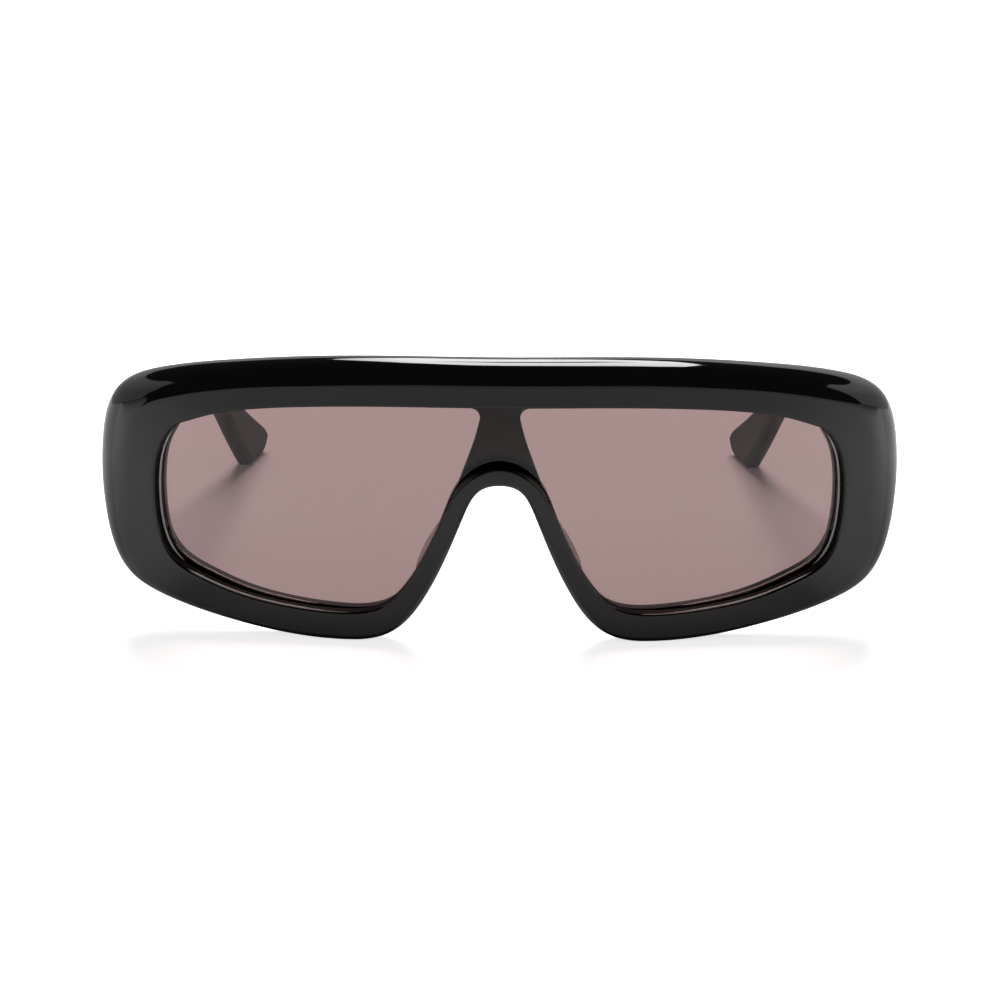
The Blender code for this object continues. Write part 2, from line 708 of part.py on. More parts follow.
def slotted(screw, origin, direction, head_radius, surface, parent):
    """Cuts a driver slot across a screw's head, whose top is at the origin."""
    turn = Vector(direction).to_track_quat("Z", "Y").to_matrix()
    reach = head_radius + OVERRUN
    rings = box_points((-reach, -0.5 * SLOT_WIDTH, -SLOT_DEPTH), (reach, 0.5 * SLOT_WIDTH, OVERRUN))
    rings = [np.array([tuple(Vector(origin) + turn @ Vector(place)) for place in ring]) for ring in rings]
    combine(screw, mesh_object(f"{screw.name}_slot", *capped_loft(rings), surface, parent), "DIFFERENCE")


def make_pivot_screw(side, parent):
    """Screw down the hinge axis, its head above the top knuckle."""
    name = f"hinge_screw_{side_name(side)}"
    surface = steel_material(name)
    seat = 0.5 * BARREL_HEIGHT + PIN_HEAD_GAP
    top = seat + PIN_HEAD_HEIGHT
    profile = (
        (PIN_RADIUS, -0.5 * BARREL_HEIGHT),
        (PIN_RADIUS, seat),
        (PIN_HEAD_RADIUS, seat),
        (PIN_HEAD_RADIUS, top - 0.3 * PIN_HEAD_HEIGHT),
        (0.8 * PIN_HEAD_RADIUS, top),
    )
    screw = mesh_object(name, *capped_loft(turned_rings(profile, (0, 0, 0), (0, 0, 1))), surface, parent)
    slotted(screw, (0, 0, top), (0, 0, 1), PIN_HEAD_RADIUS, surface, parent)
    return screw


def make_leaf_screw(side, role, number, y, z, parent):
    """Small screw through a leaf into the acetate, its head towards the wearer."""
    name = f"{role}_leaf_screw_{side_name(side)}_{number + 1}"
    surface = steel_material(name)
    inner, _ = leaf_plate_across()
    seat = inner - PIN_HEAD_GAP
    tip = PIVOT_TO_TEMPLE + LEAF_SCREW_DEPTH
    top = seat - LEAF_SCREW_HEAD_HEIGHT
    profile = (
        (LEAF_SCREW_RADIUS, -tip),
        (LEAF_SCREW_RADIUS, -seat),
        (LEAF_SCREW_HEAD_RADIUS, -seat),
        (LEAF_SCREW_HEAD_RADIUS, -seat + 0.5 * LEAF_SCREW_HEAD_HEIGHT),
        (0.7 * LEAF_SCREW_HEAD_RADIUS, -top),
    )
    rings = turned_rings(profile, (0, y, z), (-side, 0, 0))
    screw = mesh_object(name, *capped_loft(rings), surface, parent)
    slotted(screw, (side * top, y, z), (-side, 0, 0), LEAF_SCREW_HEAD_RADIUS, surface, parent)
    return screw


def make_pad(side, surface, parent):
    """Low pad along the back of the nose flank."""
    outline = np.array(OUTLINE_SHARES) * (FRONT_HALF_WIDTH, FRONT_HEIGHT)
    rim_middle = outline + 0.5 * np.array(RIM_STEPS)
    low, high = (rim_middle[place] for place in PAD_OUTLINE_PLACES)
    middle = 0.5 * (low + high)
    along = (high - low) / np.linalg.norm(high - low)
    across = np.array([along[1], -along[0]])
    base = FRONT_THICKNESS + PAD_SEAT_GAP
    rings = []
    for ring in range(PAD_RINGS):
        rise = ring / PAD_RINGS
        spread = math.sqrt(1 - rise**2)
        places = []
        for step in range(PAD_SIDES):
            angle = 2 * math.pi * step / PAD_SIDES
            forward = math.cos(angle) * spread
            sideways = math.sin(angle) * spread * (1 - PAD_TAPER_SHARE * forward)
            flat = middle + along * forward * 0.5 * PAD_LENGTH + across * sideways * 0.5 * PAD_WIDTH
            flat = flat - across * rise * PAD_LEAN_SHARE * PAD_WIDTH
            places.append((side * flat[0], flat[1], base + rise * PAD_HEIGHT))
        places = np.array(places)
        rings.append(bend_sheet(places[:, 0], places[:, 1], places[:, 2]))
    points, faces = capped_loft(rings)
    return mesh_object(f"nose_pad_{side_name(side)}", points, faces, surface, parent, PAD_SMOOTH_ANGLE)


def make_front(front):
    """Wrapped front with its rim, groove and post; end blocks and holes are joined on by the caller."""
    stations = rim_stations(RIM_STEPS_PER_SPAN)
    pairs = rim_profile(stations, ROUND_STEPS)
    rings = rim_points(stations, pairs)
    faces = grid_faces(rings.shape[0], rings.shape[1], closed_rings=True)
    frame = mesh_object("front_frame", rings.reshape(-1, 3), faces, acetate_material("front_frame"), front)
    groove_back = LENS_SETBACK + LENS_THICKNESS + LENS_FACE_GAP
    post = bent_plate(
        "post",
        post_outline(),
        groove_back + POST_FACE_INSET,
        FRONT_THICKNESS - POST_FACE_INSET,
        acetate_material("acetate_post"),
        front,
    )
    combine(frame, post, "UNION")
    lens_edge = stations["outline"] + stations["inward"] * (stations["width"] - LENS_BITE)[:, None]
    bent_plate(
        "shield_lens",
        lens_edge,
        LENS_SETBACK,
        LENS_SETBACK + LENS_THICKNESS,
        lens_material("shield_lens"),
        front,
    )
    return frame


def lowest_of_front():
    """Height of the front's lowest place before it is set down."""
    stations = rim_stations(RIM_STEPS_PER_SPAN)
    return rim_points(stations, rim_profile(stations, ROUND_STEPS))[..., 2].min()


def ground_cutter(stand):
    """Slab below the surface that the part stands on."""
    reach = 3 * FRONT_HALF_WIDTH
    rings = box_points((-reach, -reach, -reach), (reach, reach, 0))
    return mesh_object("ground", *capped_loft(rings), acetate_material("ground"), stand)


def centre_over_origin(stand, objects):
    """Moves the part so that its middle, front to back, is over the origin."""
    bpy.context.view_layer.update()
    depths = [(made.matrix_world @ vertex.co).y for made in objects for vertex in made.data.vertices]
    stand.location.y = -0.5 * (min(depths) + max(depths))
    bpy.context.view_layer.update()


def build():
    for existing in list(bpy.data.objects):
        bpy.data.objects.remove(existing)
    stand = empty("stand")
    front_drop = lowest_of_front() + FOOT_FLAT
    hinge = hinge_place(front_drop)
    front = empty("front_sheet", location=(0, 0, -front_drop), parent=stand)
    frame = make_front(front)
    ground = ground_cutter(stand)
    temples = []
    for side in (1, -1):
        combine(frame, make_end_block(side, hinge, front_drop, stand), "UNION")
        pivot = empty(
            f"hinge_axis_{side_name(side)}",
            location=(side * hinge[0], hinge[1], hinge[2]),
            rotation=(-TEMPLE_DECLINE, 0, 0),
            parent=stand,
        )
        temple = make_temple(side, hinge, pivot)
        temples.append(temple)
        channel = wire_rings(side, hinge, WIRE_CLEARANCE, -OVERRUN, WIRE_START + WIRE_LENGTH + OVERRUN)
        surface = steel_material(f"core_wire_{side_name(side)}")
        combine(temple, mesh_object(f"channel_{side}", *capped_loft(channel), surface, pivot), "DIFFERENCE")
        wire = wire_rings(side, hinge, 0, WIRE_START, WIRE_START + WIRE_LENGTH)
        mesh_object(f"core_wire_{side_name(side)}", *capped_loft(wire), surface, pivot)
        for role, carrier in (("front", frame), ("temple", temple)):
            make_leaf(side, role, pivot)
            for number, (y, z) in enumerate(leaf_screw_places(role)):
                hole = leaf_screw_hole(side, y, z)
                cutter = mesh_object(f"{role}_hole_{side}_{number}", *capped_loft(hole), surface, pivot)
                combine(carrier, cutter, "DIFFERENCE")
                make_leaf_screw(side, role, number, y, z, pivot)
        make_pivot_screw(side, pivot)
        combine(temple, ground, "DIFFERENCE")
        make_pad(side, acetate_material(f"nose_pad_{side_name(side)}"), front)
    combine(frame, ground, "DIFFERENCE")
    centre_over_origin(stand, [frame, *temples])


build()
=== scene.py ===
"""Looks, light and camera for the shield sunglasses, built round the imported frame."""

import json
import math

import bmesh
import bpy
import numpy as np
from mathutils import Matrix, Vector
from mathutils.geometry import delaunay_2d_cdt


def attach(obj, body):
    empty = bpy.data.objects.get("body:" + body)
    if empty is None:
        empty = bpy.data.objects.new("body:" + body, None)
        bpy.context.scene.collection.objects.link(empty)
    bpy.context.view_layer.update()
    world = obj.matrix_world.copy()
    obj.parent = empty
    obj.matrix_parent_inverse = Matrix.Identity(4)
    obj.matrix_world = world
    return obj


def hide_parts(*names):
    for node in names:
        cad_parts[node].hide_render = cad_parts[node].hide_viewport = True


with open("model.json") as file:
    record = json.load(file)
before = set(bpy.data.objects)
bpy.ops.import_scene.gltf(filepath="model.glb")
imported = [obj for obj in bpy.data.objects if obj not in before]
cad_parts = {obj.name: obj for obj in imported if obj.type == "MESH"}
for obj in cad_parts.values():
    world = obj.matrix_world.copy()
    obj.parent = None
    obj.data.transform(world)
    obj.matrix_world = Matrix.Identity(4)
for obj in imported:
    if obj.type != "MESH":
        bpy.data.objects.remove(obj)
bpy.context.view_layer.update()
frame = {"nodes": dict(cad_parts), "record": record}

MM = 0.001

# Sizes of the solids, repeated from their source
FRONT_HALF_WIDTH = 77.8 * MM
FRONT_HEIGHT = 55.2 * MM
FRONT_THICKNESS = 6.4 * MM
WRAP_RADIUS = 180.0 * MM
FRONT_LEAN = math.radians(8.0)
BROW_RIM = 8.0 * MM
SIDE_RIM = 13.6 * MM
LOWER_RIM = 5.9 * MM
NOSE_RIM = 3.9 * MM
ARCH_RIM = 3.4 * MM
BROW_ROUND = 4.6 * MM
SIDE_ROUND = 7.5 * MM
SIDE_ROUND_DEPTH = 5.2 * MM
LOWER_ROUND = 2.0 * MM
NOSE_ROUND = 1.0 * MM
REAR_ROUND = 0.9 * MM
WINDOW_ROUND = 0.45 * MM
LENS_THICKNESS = 1.7 * MM
LENS_SETBACK = 2.35 * MM
LENS_BITE = 1.2 * MM
LENS_EDGE_GAP = 0.3 * MM
LENS_FACE_GAP = 0.15 * MM
REAR_WINDOW_STEP = 0.9 * MM
POST_TOP_HALF_WIDTH = 3.8 * MM
POST_FACE_INSET = 0.3 * MM
POST_FRONT_GAP = 0.04 * MM
PAD_LENGTH = 15.0 * MM
PAD_WIDTH = 3.6 * MM
PAD_HEIGHT = 2.8 * MM
PAD_SEAT_GAP = 0.05 * MM
TEMPLE_REACH = 115.2 * MM
TEMPLE_END = 12.5 * MM
TEMPLE_THICKNESS = 4.2 * MM
TIP_THICKNESS = 3.5 * MM
TEMPLE_HALF_HEIGHT = 7.0 * MM
ARM_HEIGHT = 7.8 * MM
TIP_HEIGHT = 10.8 * MM
TIP_INSET = 15.8 * MM
TEMPLE_STRAIGHT = 12.0 * MM
TEMPLE_DECLINE = math.radians(6.5)
TEMPLE_EDGE_ROUND = 1.2 * MM
TIP_EDGE_ROUND = 1.6 * MM
BUTT_GAP = 0.3 * MM
BLOCK_LENGTH = 12.9 * MM
PIVOT_TO_TEMPLE = 1.9 * MM
LEAF_END = 9.6 * MM
FOOT_FLAT = 0.15 * MM

# Pale strips along the window's edge, which are painted highlights: glints on the lens edge and the
# window's rounded edges, and a painted lit band behind the lens.
# Each runs between two stations of the rim, its middle lies this far from the window's wall and this
# deep behind the front face, and both its ends taper.
LINE_TAPER = 6
LINE_END_SHARE = 0.05
LENS_TO_LINE = 0.01 * MM
BEHIND_LENS = LENS_SETBACK + LENS_THICKNESS + LENS_TO_LINE
REAR_LINE_PART = (6.3, 10.0)
REAR_LINE_SINK = 0.15 * MM
REAR_LINE_RADIUS = 0.28 * MM
REAR_LINE_DEPTH = BEHIND_LENS + REAR_LINE_RADIUS
CORNER_LINE_PART = (4.1, 7.1)
CORNER_LINE_RISE = 0.2 * MM
CORNER_LINE_RADIUS = 0.22 * MM
CORNER_LINE_DEPTH = LENS_SETBACK - CORNER_LINE_RADIUS
LENS_BAND_PART = (3.9, 6.7)
LENS_BAND_RISE = 0.1 * MM
LENS_BAND_RADIUS = 0.4 * MM
LENS_BAND_DEPTH = BEHIND_LENS + LENS_BAND_RADIUS
FRONT_LINE_PART = (7.4, 9.9)
FRONT_LINE_RADIUS = 0.17 * MM
FRONT_LINE_STEP = 0.15 * MM
FRONT_LINE_DEPTH = WINDOW_ROUND + FRONT_LINE_STEP

# The rim's stations, from the middle of the brow round the left side to the top of the nose arch
OUTLINE_SHARES = (
    (0.0, 1.0), (0.392, 0.986), (0.668, 0.938), (0.840, 0.884), (0.957, 0.797), (1.0, 0.605),
    (0.997, 0.386), (0.929, 0.150), (0.822, 0.083), (0.645, 0.032), (0.400, 0.0), (0.257, 0.038),
    (0.171, 0.184), (0.083, 0.471), (0.040, 0.565), (0.0, 0.578),
)
RIM_STEPS = (
    (0.0, -BROW_RIM), (-0.04 * SIDE_RIM, -BROW_RIM), (-0.07 * SIDE_RIM, -1.04 * BROW_RIM),
    (-0.51 * SIDE_RIM, -BROW_RIM), (-0.96 * SIDE_RIM, -0.62 * BROW_RIM),
    (-0.978 * SIDE_RIM, -0.05 * SIDE_RIM), (-0.95 * SIDE_RIM, -0.04 * SIDE_RIM),
    (-0.85 * SIDE_RIM, 0.72 * LOWER_RIM), (-0.59 * SIDE_RIM, 0.95 * LOWER_RIM),
    (-0.30 * SIDE_RIM, 0.95 * LOWER_RIM), (-0.15 * SIDE_RIM, 1.015 * LOWER_RIM),
    (0.77 * NOSE_RIM, 0.83 * LOWER_RIM), (1.36 * NOSE_RIM, 0.0), (NOSE_RIM, -0.08 * NOSE_RIM),
    (0.59 * NOSE_RIM, 0.66 * ARCH_RIM), (0.0, 1.06 * ARCH_RIM),
)
EDGE_ROUNDS = (
    (BROW_ROUND, BROW_ROUND), (BROW_ROUND, BROW_ROUND), (BROW_ROUND, BROW_ROUND),
    (0.75 * SIDE_ROUND, SIDE_ROUND_DEPTH), (0.93 * SIDE_ROUND, SIDE_ROUND_DEPTH),
    (SIDE_ROUND, SIDE_ROUND_DEPTH), (SIDE_ROUND, SIDE_ROUND_DEPTH),
    (0.73 * SIDE_ROUND, 0.85 * SIDE_ROUND_DEPTH), (1.7 * LOWER_ROUND, 1.7 * LOWER_ROUND),
    (1.2 * LOWER_ROUND, 1.2 * LOWER_ROUND), (LOWER_ROUND, LOWER_ROUND),
    (0.9 * LOWER_ROUND, 0.9 * LOWER_ROUND), (1.4 * NOSE_ROUND, 1.4 * NOSE_ROUND),
    (1.2 * NOSE_ROUND, 1.2 * NOSE_ROUND), (NOSE_ROUND, NOSE_ROUND), (NOSE_ROUND, NOSE_ROUND),
)
REAR_WINDOW_SHARES = (0, 0, 0, 0, 0.05, 0.3, 0.6, 0.1, 0, 0.25, 0.55, 0.8, 1.1, 0.1, 0, 0)
POST_SIDE_SHARES = (
    (3.55, 0.873), (2.5, 0.844), (1.62, 0.829), (1.17, 0.820), (1.0, 0.799),
    (1.05, 0.770), (1.21, 0.726), (1.53, 0.659), (1.92, 0.585), (2.29, 0.522),
)
POST_BROW_SHARES = ((0.0, 0.9), (3.2, 0.892))
POST_ARCH_SHARES = ((1.85, 0.530), (1.14, 0.585), (0.55, 0.604), (0.0, 0.609))
BLOCK_ROOT_ACROSS_SHARES = (0.875, 0.962)
BLOCK_ROOT_UP_SHARES = (0.475, 0.735)
BLOCK_ROOT_DEPTH_SHARE = 0.68
BLOCK_FLARE_SHARE = 0.13
BLOCK_STRAIGHT_SHARE = 1.05
BLOCK_RING_SHARES = (0.0, 0.02, 0.15, 0.35, 0.5, 0.7, 0.85, 1.0)
BUTT_CHAMFER_SHARE = 0.25
TEMPLE_ALONG_SHARES = (0.0, 0.10, 0.27, 0.43, 0.57, 0.68, 0.79, 0.893, 1.0)
TEMPLE_MIDDLE_SHARES = (0.0, 0.0, -0.009, -0.013, -0.03, -0.095, -0.235, -0.52, -0.80)
TEMPLE_HEIGHTS = (
    2 * TEMPLE_HALF_HEIGHT, 1.97 * TEMPLE_HALF_HEIGHT, 1.69 * TEMPLE_HALF_HEIGHT, 1.29 * ARM_HEIGHT,
    ARM_HEIGHT, 0.85 * ARM_HEIGHT, 0.82 * ARM_HEIGHT, 0.75 * TIP_HEIGHT, TIP_HEIGHT,
)
TIP_TOP_FALL_SHARE = 0.33
TOE_START_SHARE = 0.7
TOE_RISE_SHARE = 0.22
END_START_SHARE = 0.88
END_FALL_SHARE = 0.08
TEMPLE_BOW_POWER = 1.3
FLANK_STATIONS = (12, 13)
PAD_TAPER_SHARE = 0.18
PAD_LEAN_SHARE = 0.3
POST_EDGE_ROUND = 0.18 * MM
WEAR_SHARES = (0.45, 0.85)

# Fineness of the shown surfaces
RIM_STEPS_PER_SPAN = 16
ROUND_STEPS = 16
EDGE_STEPS = 6
FACE_SHARES = (0.15, 0.5, 0.85)
WALL_FACES = 4
LINE_SIDES = 10
SHEET_SPACING = 2.5 * MM
SHEET_MARGIN_SHARE = 0.4
INNER_TRIANGLES = 1
SAME_PLACE = 1e-6
POST_STEPS_PER_SPAN = 8
POST_EDGE_STEPS = 3
SECTIONS_PER_SPAN = 10
CORNER_STEPS = 8
CORNER_LIMIT_SHARE = 0.45
TIP_SECTIONS = 24
PAD_RINGS = 18
PAD_SIDES = 56
SMOOTH_ANGLE = math.radians(38)


# Shapes

def mesh_object(name, points, faces, surface):
    mesh = bpy.data.meshes.new(name)
    mesh.from_pydata([tuple(point) for point in points], [], faces)
    shape = bmesh.new()
    shape.from_mesh(mesh)
    bmesh.ops.recalc_face_normals(shape, faces=shape.faces)
    shape.to_mesh(mesh)
    shape.free()
    mesh.shade_smooth()
    mesh.set_sharp_from_angle(angle=SMOOTH_ANGLE)
    mesh.materials.append(surface)
    made = bpy.data.objects.new(name, mesh)
    bpy.context.scene.collection.objects.link(made)
    return made


def grid_faces(rings, sides, closed_rings=False):
    faces = []
    for ring in range(rings if closed_rings else rings - 1):
        after = (ring + 1) % rings
        for side in range(sides):
            following = (side + 1) % sides
            this, other = ring * sides, after * sides
            faces.append((this + side, this + following, other + following, other + side))
    return faces


def capped_loft(rings):
    sides = len(rings[0])
    faces = grid_faces(len(rings), sides)
    faces.append(tuple(range(sides))[::-1])
    faces.append(tuple(range((len(rings) - 1) * sides, len(rings) * sides)))
    return np.concatenate(rings), faces


def cubic_curve(rows, spans, per_span, closed):
    rows = np.asarray(rows, float)
    count = len(rows)
    after = np.roll(rows, -1, axis=0)
    before = np.roll(rows, 1, axis=0)
    spans = np.asarray(spans, float)
    spans_before = np.roll(spans, 1)
    system = np.zeros((count, count))
    index = np.arange(count)
    system[index, index] = 2 * (spans_before + spans)
    system[index, index - 1] += spans_before
    system[index, (index + 1) % count] += spans
    bends = 6 * ((after - rows) / spans[:, None] - (rows - before) / spans_before[:, None])
    if not closed:
        for end in (0, count - 1):
            system[end] = 0
            system[end, end] = 1
            bends[end] = 0
    bends = np.linalg.solve(system, bends)
    bends_after = np.roll(bends, -1, axis=0)
    read = []
    for step in range(per_span):
        far = step / per_span
        near = 1 - far
        bend = (near**3 - near) * bends + (far**3 - far) * bends_after
        read.append(near * rows + far * after + bend * spans[:, None] ** 2 / 6)
    read = np.stack(read, axis=1).reshape(count * per_span, -1)
    return read if closed else read[: (count - 1) * per_span + 1]


def mirrored(rows, across_columns):
    rows = np.asarray(rows, float)
    signs = np.ones(rows.shape[1])
    signs[list(across_columns)] = -1
    return np.vstack([rows, rows[-2:0:-1] * signs])


def rim_stations(per_span):
    outline = np.array(OUTLINE_SHARES) * (FRONT_HALF_WIDTH, FRONT_HEIGHT)
    window = outline + np.array(RIM_STEPS)
    rear_steps = np.array(REAR_WINDOW_SHARES)[:, None] * REAR_WINDOW_STEP
    rows = mirrored(np.hstack([outline, window, EDGE_ROUNDS, rear_steps]), (0, 2))
    spans = np.linalg.norm(np.roll(rows[:, :2], -1, axis=0) - rows[:, :2], axis=1)
    read = cubic_curve(rows, spans, per_span, closed=True)
    inward = read[:, 2:4] - read[:, :2]
    width = np.linalg.norm(inward, axis=1)
    return {
        "outline": read[:, :2],
        "inward": inward / width[:, None],
        "width": width,
        "round": read[:, 4],
        "round_depth": np.minimum(read[:, 5], FRONT_THICKNESS - REAR_ROUND),
        "rear_step": np.maximum(read[:, 6], 0),
    }


def quarter(steps):
    return [0.5 * math.pi * step / steps for step in range(steps + 1)]


def rim_profile(stations):
    width = stations["width"]
    nought = np.zeros_like(width)
    groove_front = LENS_SETBACK - LENS_FACE_GAP
    groove_back = LENS_SETBACK + LENS_THICKNESS + LENS_FACE_GAP
    groove_floor = width - LENS_BITE - LENS_EDGE_GAP
    rear_edge = width - stations["rear_step"]
    pairs = []
    for angle in quarter(ROUND_STEPS):
        across = stations["round"] * (1 - math.cos(angle))
        pairs.append((across, stations["round_depth"] * (1 - math.sin(angle))))
    face_start = stations["round"]
    face_end = width - WINDOW_ROUND
    for share in FACE_SHARES:
        pairs.append((face_start + (face_end - face_start) * share, nought))
    for angle in quarter(EDGE_STEPS):
        across = face_end + WINDOW_ROUND * math.sin(angle)
        pairs.append((across, nought + WINDOW_ROUND * (1 - math.cos(angle))))
    pairs.append((width, nought + groove_front))
    pairs.append((groove_floor, nought + groove_front))
    pairs.append((groove_floor, nought + groove_back))
    pairs.append((rear_edge, nought + groove_back))
    for angle in quarter(EDGE_STEPS):
        across = rear_edge - WINDOW_ROUND * (1 - math.cos(angle))
        pairs.append((across, nought + FRONT_THICKNESS - WINDOW_ROUND * (1 - math.sin(angle))))
    for angle in quarter(EDGE_STEPS):
        across = nought + REAR_ROUND * (1 - math.sin(angle))
        pairs.append((across, nought + FRONT_THICKNESS - REAR_ROUND * (1 - math.cos(angle))))
    return pairs


def bend_sheet(u, v, w):
    angle = u / WRAP_RADIUS
    radius = WRAP_RADIUS - w
    x = radius * np.sin(angle)
    y = WRAP_RADIUS - radius * np.cos(angle)
    lean_y = y * math.cos(FRONT_LEAN) - v * math.sin(FRONT_LEAN)
    lean_z = v * math.cos(FRONT_LEAN) + y * math.sin(FRONT_LEAN)
    return np.stack([x, lean_y, lean_z], axis=-1)


def rim_points(stations):
    return placed_rings(stations, rim_profile(stations))


def placed_rings(stations, pairs):
    columns = []
    for across, depth in pairs:
        flat = stations["outline"] + stations["inward"] * across[:, None]
        columns.append(bend_sheet(flat[:, 0], flat[:, 1], depth))
    return np.stack(columns, axis=1)


def on_the_floor(points):
    """The part's worn feet are flat, at the height of the surface under it."""
    points[..., 2] = np.maximum(points[..., 2], 0)
    return points


def edge_line(name, side, stations, part, across, depth, radius, surface):
    """Thin round strip along a part of the window's edge; the strips drawn with it are painted
    highlights.
    """
    first, last = (round(station * RIM_STEPS_PER_SPAN) for station in part)
    rings = []
    for step in range(last - first + 1):
        share = step / (last - first)
        size = radius * max(min(1, LINE_TAPER * share, LINE_TAPER * (1 - share)), LINE_END_SHARE)
        place = side * (first + step)
        angles = np.arange(LINE_SIDES) * 2 * math.pi / LINE_SIDES
        reach = across[place] + size * np.cos(angles)
        flat = stations["outline"][place] + stations["inward"][place] * reach[:, None]
        rings.append(bend_sheet(flat[:, 0], flat[:, 1], depth + size * np.sin(angles)) + SHEET_PLACE)
    return mesh_object(name, *capped_loft(rings), surface)


def inside_outline(points, outline, margin):
    start = outline[None]
    end = np.roll(outline, -1, axis=0)[None]
    place = points[:, None]
    along = end - start
    share = np.clip(((place - start) * along).sum(2) / (along**2).sum(2), 0, 1)
    gap = np.linalg.norm(place - start - share[..., None] * along, axis=2).min(axis=1)
    straddles = (start[..., 1] > place[..., 1]) != (end[..., 1] > place[..., 1])
    rise = np.where(along[..., 1] == 0, 1, along[..., 1])
    crossing = start[..., 0] + (place[..., 1] - start[..., 1]) * along[..., 0] / rise
    hits = (straddles & (place[..., 0] < crossing)).sum(axis=1)
    return (hits % 2 == 1) & (gap > margin)


def bent_plate(name, outline, front_depth, back_depth, surface):
    low, high = outline.min(axis=0), outline.max(axis=0)
    across = np.arange(low[0], high[0], SHEET_SPACING)
    up = np.arange(low[1], high[1], SHEET_SPACING)
    lattice = np.stack(np.meshgrid(across, up), axis=-1).reshape(-1, 2)
    lattice = lattice[inside_outline(lattice, outline, SHEET_MARGIN_SHARE * SHEET_SPACING)]
    flat = [Vector(place) for place in np.vstack([outline, lattice])]
    edges = [(side, (side + 1) % len(outline)) for side in range(len(outline))]
    made = delaunay_2d_cdt(flat, edges, [], INNER_TRIANGLES, SAME_PLACE)
    places = np.array([tuple(place) for place in made[0]])
    triangles = [tuple(face) for face in made[2]]
    new_index = {old: new for new, olds in enumerate(made[3]) for old in olds}
    rim = [new_index[side] for side in range(len(outline))]
    count = len(places)
    faces = list(triangles)
    faces += [tuple(count + corner for corner in reversed(face)) for face in triangles]
    for side, corner in enumerate(rim):
        other = rim[(side + 1) % len(rim)]
        faces.append((corner, other, count + other, count + corner))
    points = [bend_sheet(places[:, 0], places[:, 1], depth) for depth in (front_depth, back_depth)]
    return mesh_object(name, np.concatenate(points) + SHEET_PLACE, faces, surface)


def post_outline():
    scale = np.array([POST_TOP_HALF_WIDTH, FRONT_HEIGHT])
    side = np.array(POST_SIDE_SHARES) * scale
    spans = np.linalg.norm(np.roll(side, -1, axis=0) - side, axis=1)
    side = cubic_curve(side, spans, POST_STEPS_PER_SPAN, closed=False)
    half = np.vstack([np.array(POST_BROW_SHARES) * scale, side, np.array(POST_ARCH_SHARES) * scale])
    return mirrored(half, (0,))


def rounded_ring(x_low, x_high, z_low, z_high, y, radius):
    radius = min(radius, CORNER_LIMIT_SHARE * (x_high - x_low), CORNER_LIMIT_SHARE * (z_high - z_low))
    centres = (
        (x_high - radius, z_high - radius, 0.0),
        (x_low + radius, z_high - radius, 0.5 * math.pi),
        (x_low + radius, z_low + radius, math.pi),
        (x_high - radius, z_low + radius, 1.5 * math.pi),
    )
    ring = []
    for x, z, start in centres:
        for step in range(CORNER_STEPS + 1):
            angle = start + 0.5 * math.pi * step / CORNER_STEPS
            ring.append((x + radius * math.cos(angle), y, z + radius * math.sin(angle)))
    return np.array(ring)


def levelled(side):
    """From a temple drawn level at its hinge axis to its place in the part."""
    move = Matrix.Translation((side * HINGE[0], HINGE[1], HINGE[2]))
    return np.array(move @ Matrix.Rotation(-TEMPLE_DECLINE, 4, "X"))


def moved(points, matrix):
    return np.asarray(points) @ matrix[:3, :3].T + matrix[:3, 3]


def end_block(side, surface):
    butt = -0.5 * BUTT_GAP
    inner = PIVOT_TO_TEMPLE
    outer = PIVOT_TO_TEMPLE + TEMPLE_THICKNESS
    half = TEMPLE_HALF_HEIGHT
    place = levelled(side)
    rings = []
    straight = BLOCK_STRAIGHT_SHARE * LEAF_END
    edge = BUTT_CHAMFER_SHARE * TEMPLE_EDGE_ROUND
    for share in BLOCK_RING_SHARES:
        flare = share * BLOCK_FLARE_SHARE * TEMPLE_THICKNESS
        chamfer = edge if share == 0 else 0
        ring = rounded_ring(
            inner + chamfer, outer + flare - chamfer, -half - flare + chamfer, half + flare - chamfer,
            butt - share * straight, TEMPLE_EDGE_ROUND,
        )
        rings.append(moved(ring * (side, 1, 1), place))
    across = np.array(BLOCK_ROOT_ACROSS_SHARES) * FRONT_HALF_WIDTH
    up = np.array(BLOCK_ROOT_UP_SHARES) * FRONT_HEIGHT
    root = rounded_ring(across[0], across[1], up[0], up[1], 0, TEMPLE_EDGE_ROUND)
    depth = np.full(len(root), BLOCK_ROOT_DEPTH_SHARE * FRONT_THICKNESS)
    rings.append(bend_sheet(side * root[:, 0], root[:, 2], depth) + SHEET_PLACE)
    return mesh_object(f"end_block_{side_name(side)}", *capped_loft(rings), surface)


def quarter_rise(share, start):
    along = max(share - start, 0) / (1 - start)
    return 1 - math.sqrt(1 - along**2)


